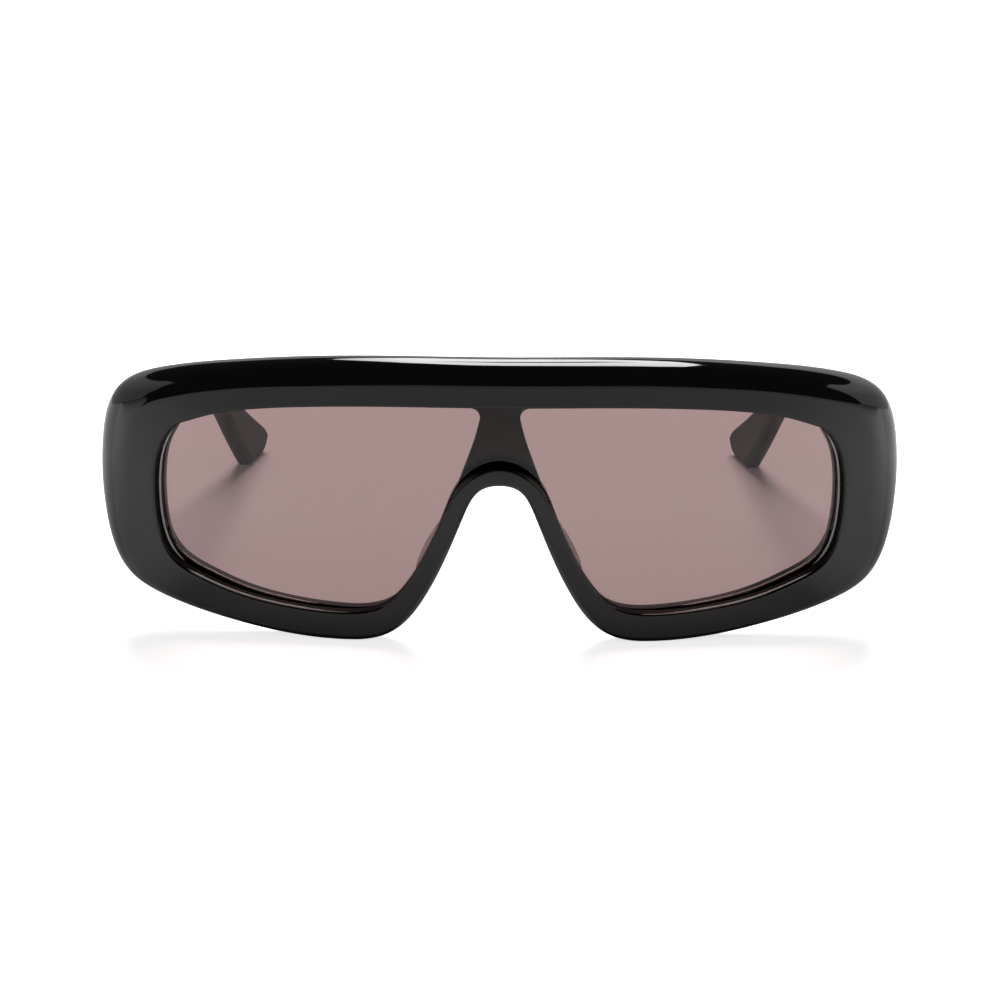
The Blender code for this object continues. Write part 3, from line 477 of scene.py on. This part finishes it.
def temple_sections():
    drop = (HINGE[2] + FOOT_FLAT - TEMPLE_REACH * math.sin(TEMPLE_DECLINE)) / math.cos(TEMPLE_DECLINE)
    middle_low = -drop + 0.5 * TIP_HEIGHT
    middles = np.array(TEMPLE_MIDDLE_SHARES) * (middle_low / TEMPLE_MIDDLE_SHARES[-1])
    along = np.array(TEMPLE_ALONG_SHARES) * TEMPLE_REACH
    rows = np.stack([along, middles, TEMPLE_HEIGHTS], axis=1)
    spans = np.append(np.diff(along), TEMPLE_REACH)
    sections = []
    for y, middle, height in cubic_curve(rows, spans, SECTIONS_PER_SPAN, closed=False):
        sections.append((max(y, 0.5 * BUTT_GAP), middle + 0.5 * height, middle - 0.5 * height))
    _, top, bottom = sections[-1]
    for step in range(1, TIP_SECTIONS + 1):
        share = math.sin(0.5 * math.pi * step / TIP_SECTIONS)
        along = share * TEMPLE_END
        end_fall = END_FALL_SHARE * TIP_HEIGHT * quarter_rise(share, END_START_SHARE)
        toe_rise = TOE_RISE_SHARE * TIP_HEIGHT * quarter_rise(share, TOE_START_SHARE)
        high = top - TIP_TOP_FALL_SHARE * along - end_fall
        low = bottom + math.tan(TEMPLE_DECLINE) * along + toe_rise
        sections.append((TEMPLE_REACH + along, high, low))
    whole = TEMPLE_REACH + TEMPLE_END
    made = []
    for y, high, low in sections:
        bow = max(y - TEMPLE_STRAIGHT, 0) / (TEMPLE_REACH - TEMPLE_STRAIGHT)
        thickness = TEMPLE_THICKNESS + (TIP_THICKNESS - TEMPLE_THICKNESS) * y / whole
        edge_round = TEMPLE_EDGE_ROUND + (TIP_EDGE_ROUND - TEMPLE_EDGE_ROUND) * y / whole
        made.append((y, high, low, TIP_INSET * bow**TEMPLE_BOW_POWER, thickness, edge_round))
    return made


def temple(side, surface):
    outer_start = PIVOT_TO_TEMPLE + TEMPLE_THICKNESS
    rings = []
    for y, high, low, inset, thickness, edge_round in temple_sections():
        outer = outer_start - inset
        ring = rounded_ring(outer - thickness, outer, low, high, y, edge_round)
        rings.append(moved(ring * (side, 1, 1), levelled(side)))
    points, faces = capped_loft(rings)
    name = f"temple_board_{side_name(side)}"
    made = mesh_object(name, on_the_floor(points), faces, surface)
    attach(made, f"{side_name(side)}_temple")
    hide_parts(f"temple_{side_name(side)}")


def nose_pad(side, surface):
    outline = np.array(OUTLINE_SHARES) * (FRONT_HALF_WIDTH, FRONT_HEIGHT)
    rim_middles = outline + 0.5 * np.array(RIM_STEPS)
    low, high = (rim_middles[station] for station in FLANK_STATIONS)
    middle = 0.5 * (low + high)
    along = (high - low) / np.linalg.norm(high - low)
    across = np.array([along[1], -along[0]])
    base = FRONT_THICKNESS + PAD_SEAT_GAP
    rings = []
    for ring in range(PAD_RINGS):
        rise = math.sin(0.5 * math.pi * ring / PAD_RINGS)
        spread = math.sqrt(1 - rise**2)
        angles = np.arange(PAD_SIDES) * 2 * math.pi / PAD_SIDES
        forward = np.cos(angles) * spread
        sideways = np.sin(angles) * spread * (1 - PAD_TAPER_SHARE * forward)
        flat = middle + along * forward[:, None] * 0.5 * PAD_LENGTH
        flat = flat + across * (sideways[:, None] * 0.5 - rise * PAD_LEAN_SHARE) * PAD_WIDTH
        rings.append(bend_sheet(side * flat[:, 0], flat[:, 1], base + rise * PAD_HEIGHT) + SHEET_PLACE)
    name = f"pad_{side_name(side)}"
    made = mesh_object(name, *capped_loft(rings), surface)
    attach(made, "front")
    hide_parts(f"nose_pad_{side_name(side)}")


def side_name(side):
    return "left" if side > 0 else "right"


# Materials

# Each colour lies between a deep and a pale end, along a noise of a scale in turns per metre
BLACK_DEEP = (0.0009, 0.0009, 0.001)
BLACK_PALE = (0.0018, 0.0018, 0.0019)
BLACK_SCALE = 90
HAZE_SCALE = 160
HAZE_ROUGHNESS = (0.035, 0.05)
WAVE_SCALE = 45
WAVE_STRENGTH = 0.1
WAVE_HEIGHT = 0.03 * MM
ACETATE_IOR = 1.5
ACETATE_SHINE = 0.5
WORN_ROUGHNESS = 0.35
WORN_SHINE = 0.2
MILLED_SCALE = 900
MILLED_ROUGHNESS = (0.3, 0.5)
MILLED_SHINE = 0.06
# Colours of the pale strips along the window's edge, which are painted highlights
PAINTED_GLINT_DEEP = (0.8, 0.78, 0.76)
PAINTED_GLINT_PALE = (0.92, 0.91, 0.89)
PAINTED_GLINT_SCALE = 350
PAINTED_GLINT_ROUGHNESS = (0.25, 0.4)
PAD_DEEP = (0.46, 0.45, 0.44)
PAD_PALE = (0.56, 0.55, 0.54)
PAD_SCALE = 260
PAD_ROUGHNESS = (0.28, 0.36)
PAD_THROUGH = (0.86, 0.85, 0.84, 1)
PAD_THROUGH_SHARE = 0.65
LENS_DEEP = (0.555, 0.46, 0.454)
LENS_PALE = (0.57, 0.474, 0.468)
LENS_SCALE = 18
LENS_ROUGHNESS = 0.02
LENS_IOR = 1.5
LENS_INNER_SHINE = 0.043
METALS = (
    ("hinge_metal", (0.62, 0.61, 0.6), (0.22, 0.4), 2500),
    ("screw_metal", (0.7, 0.7, 0.71), (0.15, 0.3), 4000),
    ("wire_metal", (0.6, 0.59, 0.57), (0.25, 0.45), 3000),
)
METAL_OF_PARTS = (("screw", "screw_metal"), ("hinge", "hinge_metal"), ("core_wire", "wire_metal"))
GRAIN_STRETCH = (1, 0.08, 1)
GRAIN_DARK_SHARE = 0.82
GRAIN_STRENGTH = 0.15
GRAIN_HEIGHT = 0.01 * MM
NOISE_MIDDLE = (0.3, 0.7)


def new_material(name):
    made = bpy.data.materials.new(name)
    made.use_nodes = True
    return made, made.node_tree.nodes, made.node_tree.links


def object_place(nodes):
    return nodes.new("ShaderNodeTexCoord").outputs["Object"]


def noise(nodes, links, scale, detail, coordinates):
    made = nodes.new("ShaderNodeTexNoise")
    made.inputs["Scale"].default_value = scale
    made.inputs["Detail"].default_value = detail
    links.new(coordinates, made.inputs["Vector"])
    return made.outputs["Fac"]


def worked(nodes, links, operation, first, second):
    """Result of one step of arithmetic on two sockets or numbers."""
    made = nodes.new("ShaderNodeMath")
    made.operation = operation
    for socket, value in zip(made.inputs, (first, second)):
        if isinstance(value, bpy.types.NodeSocket):
            links.new(value, socket)
        else:
            socket.default_value = value
    return made.outputs["Value"]


def product(nodes, links, first, *others):
    for other in others:
        first = worked(nodes, links, "MULTIPLY", first, other)
    return first


def stretched(nodes, links, value, from_low, from_high, to_low, to_high):
    """Value carried from one range to another, and held at its ends."""
    made = nodes.new("ShaderNodeMapRange")
    numbers = {"From Min": from_low, "From Max": from_high, "To Min": to_low, "To Max": to_high}
    for name, number in numbers.items():
        made.inputs[name].default_value = number
    links.new(value, made.inputs["Value"])
    return made.outputs["Result"]


def ranged(nodes, links, value, low, high):
    """A noise's middle values spread from low to high."""
    return stretched(nodes, links, value, *NOISE_MIDDLE, low, high)


def ray_kind(nodes, links, *names):
    """1 for rays of the named kinds."""
    path = nodes.new("ShaderNodeLightPath")
    total = path.outputs[names[0]]
    for name in names[1:]:
        total = worked(nodes, links, "MAXIMUM", total, path.outputs[name])
    return total


def blended(nodes, links, value, low, high):
    made = nodes.new("ShaderNodeMix")
    made.data_type = "RGBA"
    made.inputs["A"].default_value = (*low, 1)
    made.inputs["B"].default_value = (*high, 1)
    links.new(value, made.inputs["Factor"])
    return made.outputs["Result"]


def mixed_shader(nodes, links, share, first, second):
    """First shader where the share is 0, second where it is 1."""
    made = nodes.new("ShaderNodeMixShader")
    if isinstance(share, bpy.types.NodeSocket):
        links.new(share, made.inputs["Fac"])
    else:
        made.inputs["Fac"].default_value = share
    links.new(first, made.inputs[1])
    links.new(second, made.inputs[2])
    return made.outputs["Shader"]


def add_bump(nodes, links, shader, height, strength, distance):
    bump = nodes.new("ShaderNodeBump")
    bump.inputs["Strength"].default_value = strength
    bump.inputs["Distance"].default_value = distance
    links.new(height, bump.inputs["Height"])
    links.new(bump.outputs["Normal"], shader.inputs["Normal"])


def cloudy_material(name, scale, detail, deep, pale, roughness):
    """Material whose colour and roughness follow one noise."""
    made, nodes, links = new_material(name)
    shader = nodes["Principled BSDF"]
    cloud = noise(nodes, links, scale, detail, object_place(nodes))
    links.new(blended(nodes, links, cloud, deep, pale), shader.inputs["Base Color"])
    links.new(ranged(nodes, links, cloud, *roughness), shader.inputs["Roughness"])
    return made, nodes, links


def acetate(name, worn_from=None, worn_to=None):
    """Polished black acetate: hardly any colour, a slow wave left by the polishing and a fine haze.

    Between the two places along Y, where they are given, wear turns the polish satin.
    """
    made, nodes, links = new_material(name)
    shader = nodes["Principled BSDF"]
    place = object_place(nodes)
    shade = noise(nodes, links, BLACK_SCALE, 3, place)
    links.new(blended(nodes, links, shade, BLACK_DEEP, BLACK_PALE), shader.inputs["Base Color"])
    haze = ranged(nodes, links, noise(nodes, links, HAZE_SCALE, 2, place), *HAZE_ROUGHNESS)
    if worn_from is not None:
        parts = nodes.new("ShaderNodeSeparateXYZ")
        links.new(place, parts.inputs["Vector"])
        along = parts.outputs["Y"]
        wear = stretched(nodes, links, along, worn_from, worn_to, 0, WORN_ROUGHNESS)
        haze = worked(nodes, links, "ADD", haze, wear)
        dulled = stretched(nodes, links, along, worn_from, worn_to, ACETATE_SHINE, WORN_SHINE)
        links.new(dulled, shader.inputs["Specular IOR Level"])
    links.new(haze, shader.inputs["Roughness"])
    wave = noise(nodes, links, WAVE_SCALE, 1, place)
    add_bump(nodes, links, shader, wave, WAVE_STRENGTH, WAVE_HEIGHT)
    shader.inputs["IOR"].default_value = ACETATE_IOR
    return made


def milled_acetate(name):
    """The window's wall and groove, cut and left unpolished."""
    made, nodes, _ = cloudy_material(name, MILLED_SCALE, 3, BLACK_DEEP, BLACK_PALE, MILLED_ROUGHNESS)
    nodes["Principled BSDF"].inputs["Specular IOR Level"].default_value = MILLED_SHINE
    return made


def painted_glint_edge(name):
    """Pale strip, a painted highlight: it shows as a fine bright line, a painted glint, where the lens
    meets the front's wall.
    """
    return cloudy_material(name, PAINTED_GLINT_SCALE, 3, PAINTED_GLINT_DEEP, PAINTED_GLINT_PALE, PAINTED_GLINT_ROUGHNESS)[0]


def cloudy_pad(name):
    """Pale, cloudy pad with a satin surface that lets some light through."""
    made, nodes, links = cloudy_material(name, PAD_SCALE, 2, PAD_DEEP, PAD_PALE, PAD_ROUGHNESS)
    satin = nodes["Principled BSDF"].outputs["BSDF"]
    through = nodes.new("ShaderNodeBsdfTranslucent")
    through.inputs["Color"].default_value = PAD_THROUGH
    surface = mixed_shader(nodes, links, PAD_THROUGH_SHARE, satin, through.outputs["BSDF"])
    links.new(surface, nodes["Material Output"].inputs["Surface"])
    return made


def tinted_lens(name):
    """Clear mauve-brown plastic that mirrors a little of the room at each face.

    Rays pass unbent, so the share that is mirrored inside is plain: real inner mirroring would blacken
    the lens where it is seen from the side.
    """
    made, nodes, links = new_material(name)
    nodes.remove(nodes["Principled BSDF"])
    shade = noise(nodes, links, LENS_SCALE, 1, object_place(nodes))
    tint = blended(nodes, links, shade, LENS_DEEP, LENS_PALE)
    unbent = nodes.new("ShaderNodeBsdfTransparent")
    links.new(tint, unbent.inputs["Color"])
    glass = nodes.new("ShaderNodeBsdfRefraction")
    links.new(tint, glass.inputs["Color"])
    glass.inputs["IOR"].default_value = 1.0
    glass.inputs["Roughness"].default_value = 0.0
    seen = ray_kind(nodes, links, "Is Camera Ray")
    clear = mixed_shader(nodes, links, seen, unbent.outputs["BSDF"], glass.outputs["BSDF"])
    gloss = nodes.new("ShaderNodeBsdfGlossy")
    gloss.inputs["Roughness"].default_value = LENS_ROUGHNESS
    fresnel = nodes.new("ShaderNodeFresnel")
    fresnel.inputs["IOR"].default_value = LENS_IOR
    inside = nodes.new("ShaderNodeNewGeometry").outputs["Backfacing"]
    outside = worked(nodes, links, "SUBTRACT", 1, inside)
    mirrored_share = worked(
        nodes, links, "ADD",
        product(nodes, links, outside, fresnel.outputs["Fac"]),
        product(nodes, links, inside, LENS_INNER_SHINE),
    )
    surface = mixed_shader(nodes, links, mirrored_share, clear, gloss.outputs["BSDF"])
    links.new(surface, nodes["Material Output"].inputs["Surface"])
    return made


def metal(name, colour, roughness, grain):
    """Metal brushed along the object's length."""
    made, nodes, links = new_material(name)
    shader = nodes["Principled BSDF"]
    stretch = nodes.new("ShaderNodeMapping")
    stretch.inputs["Scale"].default_value = GRAIN_STRETCH
    links.new(object_place(nodes), stretch.inputs["Vector"])
    lines = noise(nodes, links, grain, 3, stretch.outputs["Vector"])
    darker = tuple(GRAIN_DARK_SHARE * part for part in colour)
    links.new(blended(nodes, links, lines, darker, colour), shader.inputs["Base Color"])
    links.new(ranged(nodes, links, lines, *roughness), shader.inputs["Roughness"])
    add_bump(nodes, links, shader, lines, GRAIN_STRENGTH, GRAIN_HEIGHT)
    shader.inputs["Metallic"].default_value = 1.0
    return made


# Pieces

BODY_PLACES = {joint["name"]: joint["pos_m"] for joint in frame["record"]["behaviour"]["joints"]}
HINGE = BODY_PLACES["left_temple_fold"]
block_root = bend_sheet(
    0.5 * sum(BLOCK_ROOT_ACROSS_SHARES) * FRONT_HALF_WIDTH,
    0.5 * sum(BLOCK_ROOT_UP_SHARES) * FRONT_HEIGHT,
    FRONT_THICKNESS,
)
SHEET_PLACE = np.array([0, HINGE[1] - BLOCK_LENGTH - block_root[1], HINGE[2] - block_root[2]])

black = acetate("black_acetate")
worn = acetate("worn_acetate", *(HINGE[1] + share * TEMPLE_REACH for share in WEAR_SHARES))
stations = rim_stations(RIM_STEPS_PER_SPAN)
rings = rim_points(stations) + SHEET_PLACE
rim_faces = grid_faces(*rings.shape[:2], closed_rings=True)
rim = mesh_object("front_rim", on_the_floor(rings).reshape(-1, 3), rim_faces, black)
rim.data.materials.append(milled_acetate("milled_wall"))
wall_start = ROUND_STEPS + len(FACE_SHARES) + EDGE_STEPS + 1
for face in rim.data.polygons:
    face.material_index = 1 if 0 <= face.index % rings.shape[1] - wall_start < WALL_FACES else 0
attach(rim, "front")
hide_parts("front_frame")

post = bent_plate(
    "rear_post",
    post_outline(),
    LENS_SETBACK + LENS_THICKNESS + LENS_FACE_GAP + POST_FRONT_GAP,
    FRONT_THICKNESS - POST_FACE_INSET,
    black,
)
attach(post, "front")
softened = post.modifiers.new("edge", "BEVEL")
softened.width = POST_EDGE_ROUND
softened.segments = POST_EDGE_STEPS
softened.angle_limit = SMOOTH_ANGLE
softened.loop_slide = False

lens_edge = stations["outline"] + stations["inward"] * (stations["width"] - LENS_BITE)[:, None]
lens = bent_plate(
    "tinted_shield", lens_edge, LENS_SETBACK, LENS_SETBACK + LENS_THICKNESS, tinted_lens("lens_tint")
)
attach(lens, "front")
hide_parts("shield_lens")

pale = painted_glint_edge("painted_glint_edge")
cloudy = cloudy_pad("soft_grey")
wall = stations["width"]
rear_corner = wall - stations["rear_step"] - REAR_LINE_SINK
# Painted highlights: pale tubes along the window's edge stand for glints and a lit band, not for parts
# of the frame
for side in (1, -1):
    for name, part, across, depth, radius in (
        ("rear_window_painted_glint", REAR_LINE_PART, rear_corner, REAR_LINE_DEPTH, REAR_LINE_RADIUS),
        (
            "lens_corner_painted_glint", CORNER_LINE_PART, wall + CORNER_LINE_RISE,
            CORNER_LINE_DEPTH, CORNER_LINE_RADIUS,
        ),
        ("lens_painted_lit_band", LENS_BAND_PART, wall + LENS_BAND_RISE, LENS_BAND_DEPTH, LENS_BAND_RADIUS),
        ("front_window_painted_glint", FRONT_LINE_PART, wall, FRONT_LINE_DEPTH, FRONT_LINE_RADIUS),
    ):
        line = edge_line(f"{name}_{side_name(side)}", side, stations, part, across, depth, radius, pale)
        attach(line, "front")

for side in (1, -1):
    block = end_block(side, black)
    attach(block, "front")
    temple(side, worn)
    nose_pad(side, cloudy)

metals = {row[0]: metal(*row) for row in METALS}
for node, made in frame["nodes"].items():
    for part, name in METAL_OF_PARTS:
        if part in node:
            made.data.materials.clear()
            made.data.materials.append(metals[name])
            break


# Studio

FLOOR_REACH = 8.0
FLOOR_COLOUR = 0.56
FLOOR_SEEN_COLOUR = 0.95
FLOOR_GLOW = 0.76
FLOOR_GLOW_IN_GLASS = 0.12

# Glow painted on the floor that only mirrors see, a painted reflection of light on it: a pool behind
# and beside the object, and a strip before its foot
POOL_LIGHT = 0.8
POOL_ASIDE = (0.1, 0.17)
POOL_FRONT = (-0.2, -0.08)
POOL_ACROSS = (-0.2, 0.2)
POOL_ACROSS_SHARES = (0.8, 1.2)
NEAR_LIGHT = 0.5
NEAR_REACH = 0.045
FAR_LIGHT = 0.08
FAR_REACH = 0.08
# Painted shade of the object on that glow: dimmed to half towards its foot over this reach, and to
# nothing in the last millimetre
FOOT_SHADE_REACH = 0.03
FOOT_SHADE_SHARE = 0.5
FOOT_SHADE_EDGE = 0.001
LIT_FLOOR_END = (-0.35, -0.22)

WORLD_LIGHT = 0.16
WALL_LEFT = 0.62
WALL_RIGHT = 0.88
WALL_SIDES = (-0.6, 0.6)
WALL_TOP = (0.35, 0.6)
WALL_TOP_SHARE = 1.4

# Outlines of the sheets that mirrors see, in metres across and along
CEILING_HEIGHT = 0.855
CEILING = (
    (-2.0, -1.2), (-1.6, -0.88), (-1.2, -0.6), (-1.02, -0.35), (-0.91, -0.05), (-0.85, 0.2),
    (-0.8, 0.45), (-0.73, 0.7), (-0.6, 0.95), (-0.45, 1.15), (-0.3, 1.3), (-0.1, 1.25), (0.2, 1.1),
    (0.38, 0.72), (0.5, 0.62), (0.62, 0.58), (0.72, 0.45), (0.8, 0.3), (0.86, 0.12), (0.91, -0.05),
    (0.97, -0.3), (1.18, -0.57), (1.6, -0.85), (2.0, -1.1),
)
FLOOR_LEFT = (
    (-0.148, -0.13), (-0.185, -0.185), (-0.215, -0.235), (-0.13, -0.275), (-0.145, -0.6), (-0.2, -1.2),
    (-2.0, -1.2), (-1.6, -1.1), (-0.37, -0.29), (-0.2, -0.17),
)
FLOOR_RIGHT = (
    (0.2, -0.32), (0.27, -0.285), (0.36, -0.28), (0.5, -0.33), (2.0, -1.1), (0.4, -1.1), (0.25, -0.55),
)
FLOOR_CARD_HEIGHT = 0.001
CARD_STEP = 0.01
DARK_CARD_LIGHT = 0.05
STRIP = (
    (-0.18, 0.62), (-0.15, 0.4), (-0.1, 0.18), (-0.03, 0.05), (0.1, 0.0), (0.22, 0.0), (0.262, 0.06),
    (0.26, 0.3), (0.2, 0.6), (0.12, 0.8), (0.03, 1.1), (-0.06, 1.1), (-0.14, 0.9), (-0.17, 0.75),
)
STRIP_RADIANCE = 13.0
STRIP_DEPTH = (0.2, 0.9)
STRIP_BACK_SHARE = 0.55
STRIP_LEFT = (-0.18, -0.08)
STRIP_LEFT_SHARE = 0.6
STRIP_GAP = ((-0.06, 0.4), (0.0, 0.33), (0.08, 0.32), (0.15, 0.39), (0.09, 0.46), (0.0, 0.46))
STRIP_GAP_RADIANCE = 0.5

KEY_PLACE = (0.0, 1.95, 2.15)
KEY_AIM = (0, 0, 0)
KEY_SIZE = (1.35, 1.95)
KEY_RADIANCE = 14.3

CAMERA_RISE = math.radians(14.0)
CAMERA_YAW = math.radians(0.1)
CAMERA_ROLL = math.radians(0.39)
CAMERA_DISTANCE = 1.0
CAMERA_FOCAL = 5.4635
CAMERA_CENTRE = (0.49945, 0.5065)
CAMERA_AIM_HEIGHT = 0.027
CAMERA_CLIP = (0.05, 50)
SENSOR_WIDTH = 36


def show_only_to(made, *rays):
    """Leaves an object visible to rays of the named kinds alone."""
    for kind in ("camera", "diffuse", "glossy", "transmission", "volume_scatter", "shadow"):
        setattr(made, f"visible_{kind}", kind in rays)


def stage_mesh(name, points, faces, surface):
    mesh = bpy.data.meshes.new(name)
    mesh.from_pydata(points, [], faces)
    mesh.materials.append(surface)
    made = bpy.data.objects.new(name, mesh)
    bpy.context.scene.collection.objects.link(made)
    return made


def separated(nodes, links, output):
    """Parts of a place, as Texture Coordinate gives it."""
    made = nodes.new("ShaderNodeSeparateXYZ")
    links.new(nodes.new("ShaderNodeTexCoord").outputs[output], made.inputs["Vector"])
    return made.outputs


def pool_light(nodes, links, place, aside):
    return product(
        nodes, links,
        stretched(nodes, links, aside, *POOL_ASIDE, 0, POOL_LIGHT),
        stretched(nodes, links, place["Y"], *POOL_FRONT, 0, 1),
        stretched(nodes, links, place["X"], *POOL_ACROSS, *POOL_ACROSS_SHARES),
    )


def near_light(nodes, links, place, aside):
    """Painted light before the object's foot, in bands that follow the bend of the front, with painted
    shade close to the foot.
    """
    wrapped = worked(nodes, links, "MINIMUM", aside, FRONT_HALF_WIDTH)
    wrapped = product(nodes, links, wrapped, wrapped, 0.5 / WRAP_RADIUS)
    ahead = worked(nodes, links, "SUBTRACT", place["Y"], wrapped)
    foot = SHEET_PLACE[1]
    near = stretched(nodes, links, ahead, foot - FAR_REACH, foot - NEAR_REACH, FAR_LIGHT, NEAR_LIGHT)
    for begin, end, begin_share in (
        (foot, foot - FOOT_SHADE_REACH, FOOT_SHADE_SHARE),
        (foot, foot - FOOT_SHADE_EDGE, 0),
        (*LIT_FLOOR_END, 0),
    ):
        near = product(nodes, links, near, stretched(nodes, links, ahead, begin, end, begin_share, 1))
    return near


def make_floor():
    """White floor, as bright to the camera as a white page and a little duller in light; mirrors also
    see painted light and painted shade on it.
    """
    made, nodes, links = new_material("floor_white")
    shader = nodes["Principled BSDF"]
    direct = ray_kind(nodes, links, "Is Camera Ray")
    through = ray_kind(nodes, links, "Is Transmission Ray")
    seen = worked(nodes, links, "MAXIMUM", direct, through)
    tone = blended(nodes, links, seen, (FLOOR_COLOUR,) * 3, (FLOOR_SEEN_COLOUR,) * 3)
    links.new(tone, shader.inputs["Base Color"])
    shader.inputs["Roughness"].default_value = 1.0
    shader.inputs["Specular IOR Level"].default_value = 0.0
    place = separated(nodes, links, "Object")
    aside = worked(nodes, links, "ABSOLUTE", place["X"], 0)
    # Glow painted on the floor for mirrors alone: pools of painted light, with painted shade at the
    # object's foot
    pool = pool_light(nodes, links, place, aside)
    near = near_light(nodes, links, place, aside)
    lit = worked(nodes, links, "ADD", pool, near)
    mirrored_light = product(nodes, links, lit, ray_kind(nodes, links, "Is Glossy Ray"))
    shown = product(nodes, links, direct, FLOOR_GLOW)
    shown = worked(nodes, links, "ADD", shown, product(nodes, links, through, FLOOR_GLOW_IN_GLASS))
    glow = nodes.new("ShaderNodeEmission")
    links.new(worked(nodes, links, "ADD", shown, mirrored_light), glow.inputs["Strength"])
    add = nodes.new("ShaderNodeAddShader")
    links.new(shader.outputs["BSDF"], add.inputs[0])
    links.new(glow.outputs["Emission"], add.inputs[1])
    links.new(add.outputs["Shader"], nodes["Material Output"].inputs["Surface"])
    corners = [(x * FLOOR_REACH, y * FLOOR_REACH, 0) for x, y in ((-1, -1), (1, -1), (1, 1), (-1, 1))]
    stage_mesh("floor", corners, [(0, 1, 2, 3)], made)


def make_world():
    """Soft light from all round; mirrors see pale walls, brighter to the right and higher up."""
    world = bpy.data.worlds.new("studio")
    world.use_nodes = True
    nodes, links = world.node_tree.nodes, world.node_tree.links
    way = separated(nodes, links, "Generated")
    walls = product(
        nodes, links,
        stretched(nodes, links, way["X"], *WALL_SIDES, WALL_LEFT, WALL_RIGHT),
        stretched(nodes, links, way["Z"], *WALL_TOP, 1, WALL_TOP_SHARE),
        ray_kind(nodes, links, "Is Glossy Ray"),
    )
    clear = ray_kind(nodes, links, "Is Camera Ray", "Is Transmission Ray")
    strength = worked(nodes, links, "MAXIMUM", walls, clear)
    strength = worked(nodes, links, "MAXIMUM", strength, WORLD_LIGHT)
    links.new(strength, nodes["Background"].inputs["Strength"])
    nodes["Background"].inputs["Color"].default_value = (1, 1, 1, 1)
    bpy.context.scene.world = world


def glow_material(name, strength):
    made, nodes, links = new_material(name)
    nodes.remove(nodes["Principled BSDF"])
    glow = nodes.new("ShaderNodeEmission")
    glow.inputs["Strength"].default_value = strength
    links.new(glow.outputs["Emission"], nodes["Material Output"].inputs["Surface"])
    return made


def strip_material(name):
    """The strip light, weaker at its back and at its left end."""
    made = glow_material(name, STRIP_RADIANCE)
    nodes, links = made.node_tree.nodes, made.node_tree.links
    place = separated(nodes, links, "Object")
    back = STRIP_BACK_SHARE * STRIP_RADIANCE
    depth = stretched(nodes, links, place["Y"], *STRIP_DEPTH, STRIP_RADIANCE, back)
    across = stretched(nodes, links, place["X"], *STRIP_LEFT, STRIP_LEFT_SHARE, 1)
    links.new(product(nodes, links, depth, across), nodes["Emission"].inputs["Strength"])
    return made


def card(name, points, surface):
    """Flat sheet that only mirrors see."""
    show_only_to(stage_mesh(name, points, [tuple(range(len(points)))], surface), "glossy")


def level_card(name, outline, height, surface):
    card(name, [(x, y, height) for x, y in outline], surface)


def make_cards():
    """What the black mirrors: dark ceiling, front wall and floor beside the camera, a strip light."""
    dark = glow_material("dark_card", DARK_CARD_LIGHT)
    level_card("dark_ceiling", CEILING, CEILING_HEIGHT, dark)
    left, right = CEILING[0], CEILING[-1]
    wall_corners = [(*left, 0), (*left, CEILING_HEIGHT), (*right, CEILING_HEIGHT), (*right, 0)]
    card("dark_front_wall", wall_corners, dark)
    level_card("dark_floor_left", FLOOR_LEFT, FLOOR_CARD_HEIGHT, dark)
    level_card("dark_floor_right", FLOOR_RIGHT, FLOOR_CARD_HEIGHT, dark)
    level_card("strip_light", STRIP, CEILING_HEIGHT - CARD_STEP, strip_material("strip_light"))
    gap = glow_material("strip_gap", STRIP_GAP_RADIANCE)
    level_card("strip_gap", STRIP_GAP, CEILING_HEIGHT - 2 * CARD_STEP, gap)


def make_key():
    """Large soft light from behind and above that mirrors don't see."""
    width, depth = KEY_SIZE
    light = bpy.data.lights.new("key", "AREA")
    light.shape = "RECTANGLE"
    light.size = width
    light.size_y = depth
    light.energy = KEY_RADIANCE * math.pi * width * depth
    made = bpy.data.objects.new("key", light)
    made.location = KEY_PLACE
    made.rotation_euler = (Vector(KEY_AIM) - Vector(KEY_PLACE)).to_track_quat("-Z", "Y").to_euler()
    show_only_to(made, "diffuse")
    bpy.context.scene.collection.objects.link(made)


def make_camera():
    rise, yaw, roll = CAMERA_RISE, CAMERA_YAW, CAMERA_ROLL
    ahead = Vector((math.sin(yaw) * math.cos(rise), math.cos(yaw) * math.cos(rise), -math.sin(rise)))
    right = Vector((math.cos(yaw), -math.sin(yaw), 0))
    up = right.cross(ahead)
    turned_right = math.cos(roll) * right + math.sin(roll) * up
    turned_up = math.cos(roll) * up - math.sin(roll) * right
    aim = Vector((0, SHEET_PLACE[1], CAMERA_AIM_HEIGHT + SHEET_PLACE[2]))
    data = bpy.data.cameras.new("camera")
    data.sensor_width = SENSOR_WIDTH
    data.lens = SENSOR_WIDTH * CAMERA_FOCAL
    data.shift_x = 0.5 - CAMERA_CENTRE[0]
    data.shift_y = CAMERA_CENTRE[1] - 0.5
    data.clip_start, data.clip_end = CAMERA_CLIP
    made = bpy.data.objects.new("camera", data)
    turn = Matrix((turned_right, turned_up, -ahead)).transposed()
    made.matrix_world = Matrix.Translation(aim - CAMERA_DISTANCE * ahead) @ turn.to_4x4()
    bpy.context.scene.collection.objects.link(made)
    bpy.context.scene.camera = made


make_floor()
make_world()
make_cards()
make_key()
make_camera()
bpy.context.scene.view_settings.view_transform = "Standard"
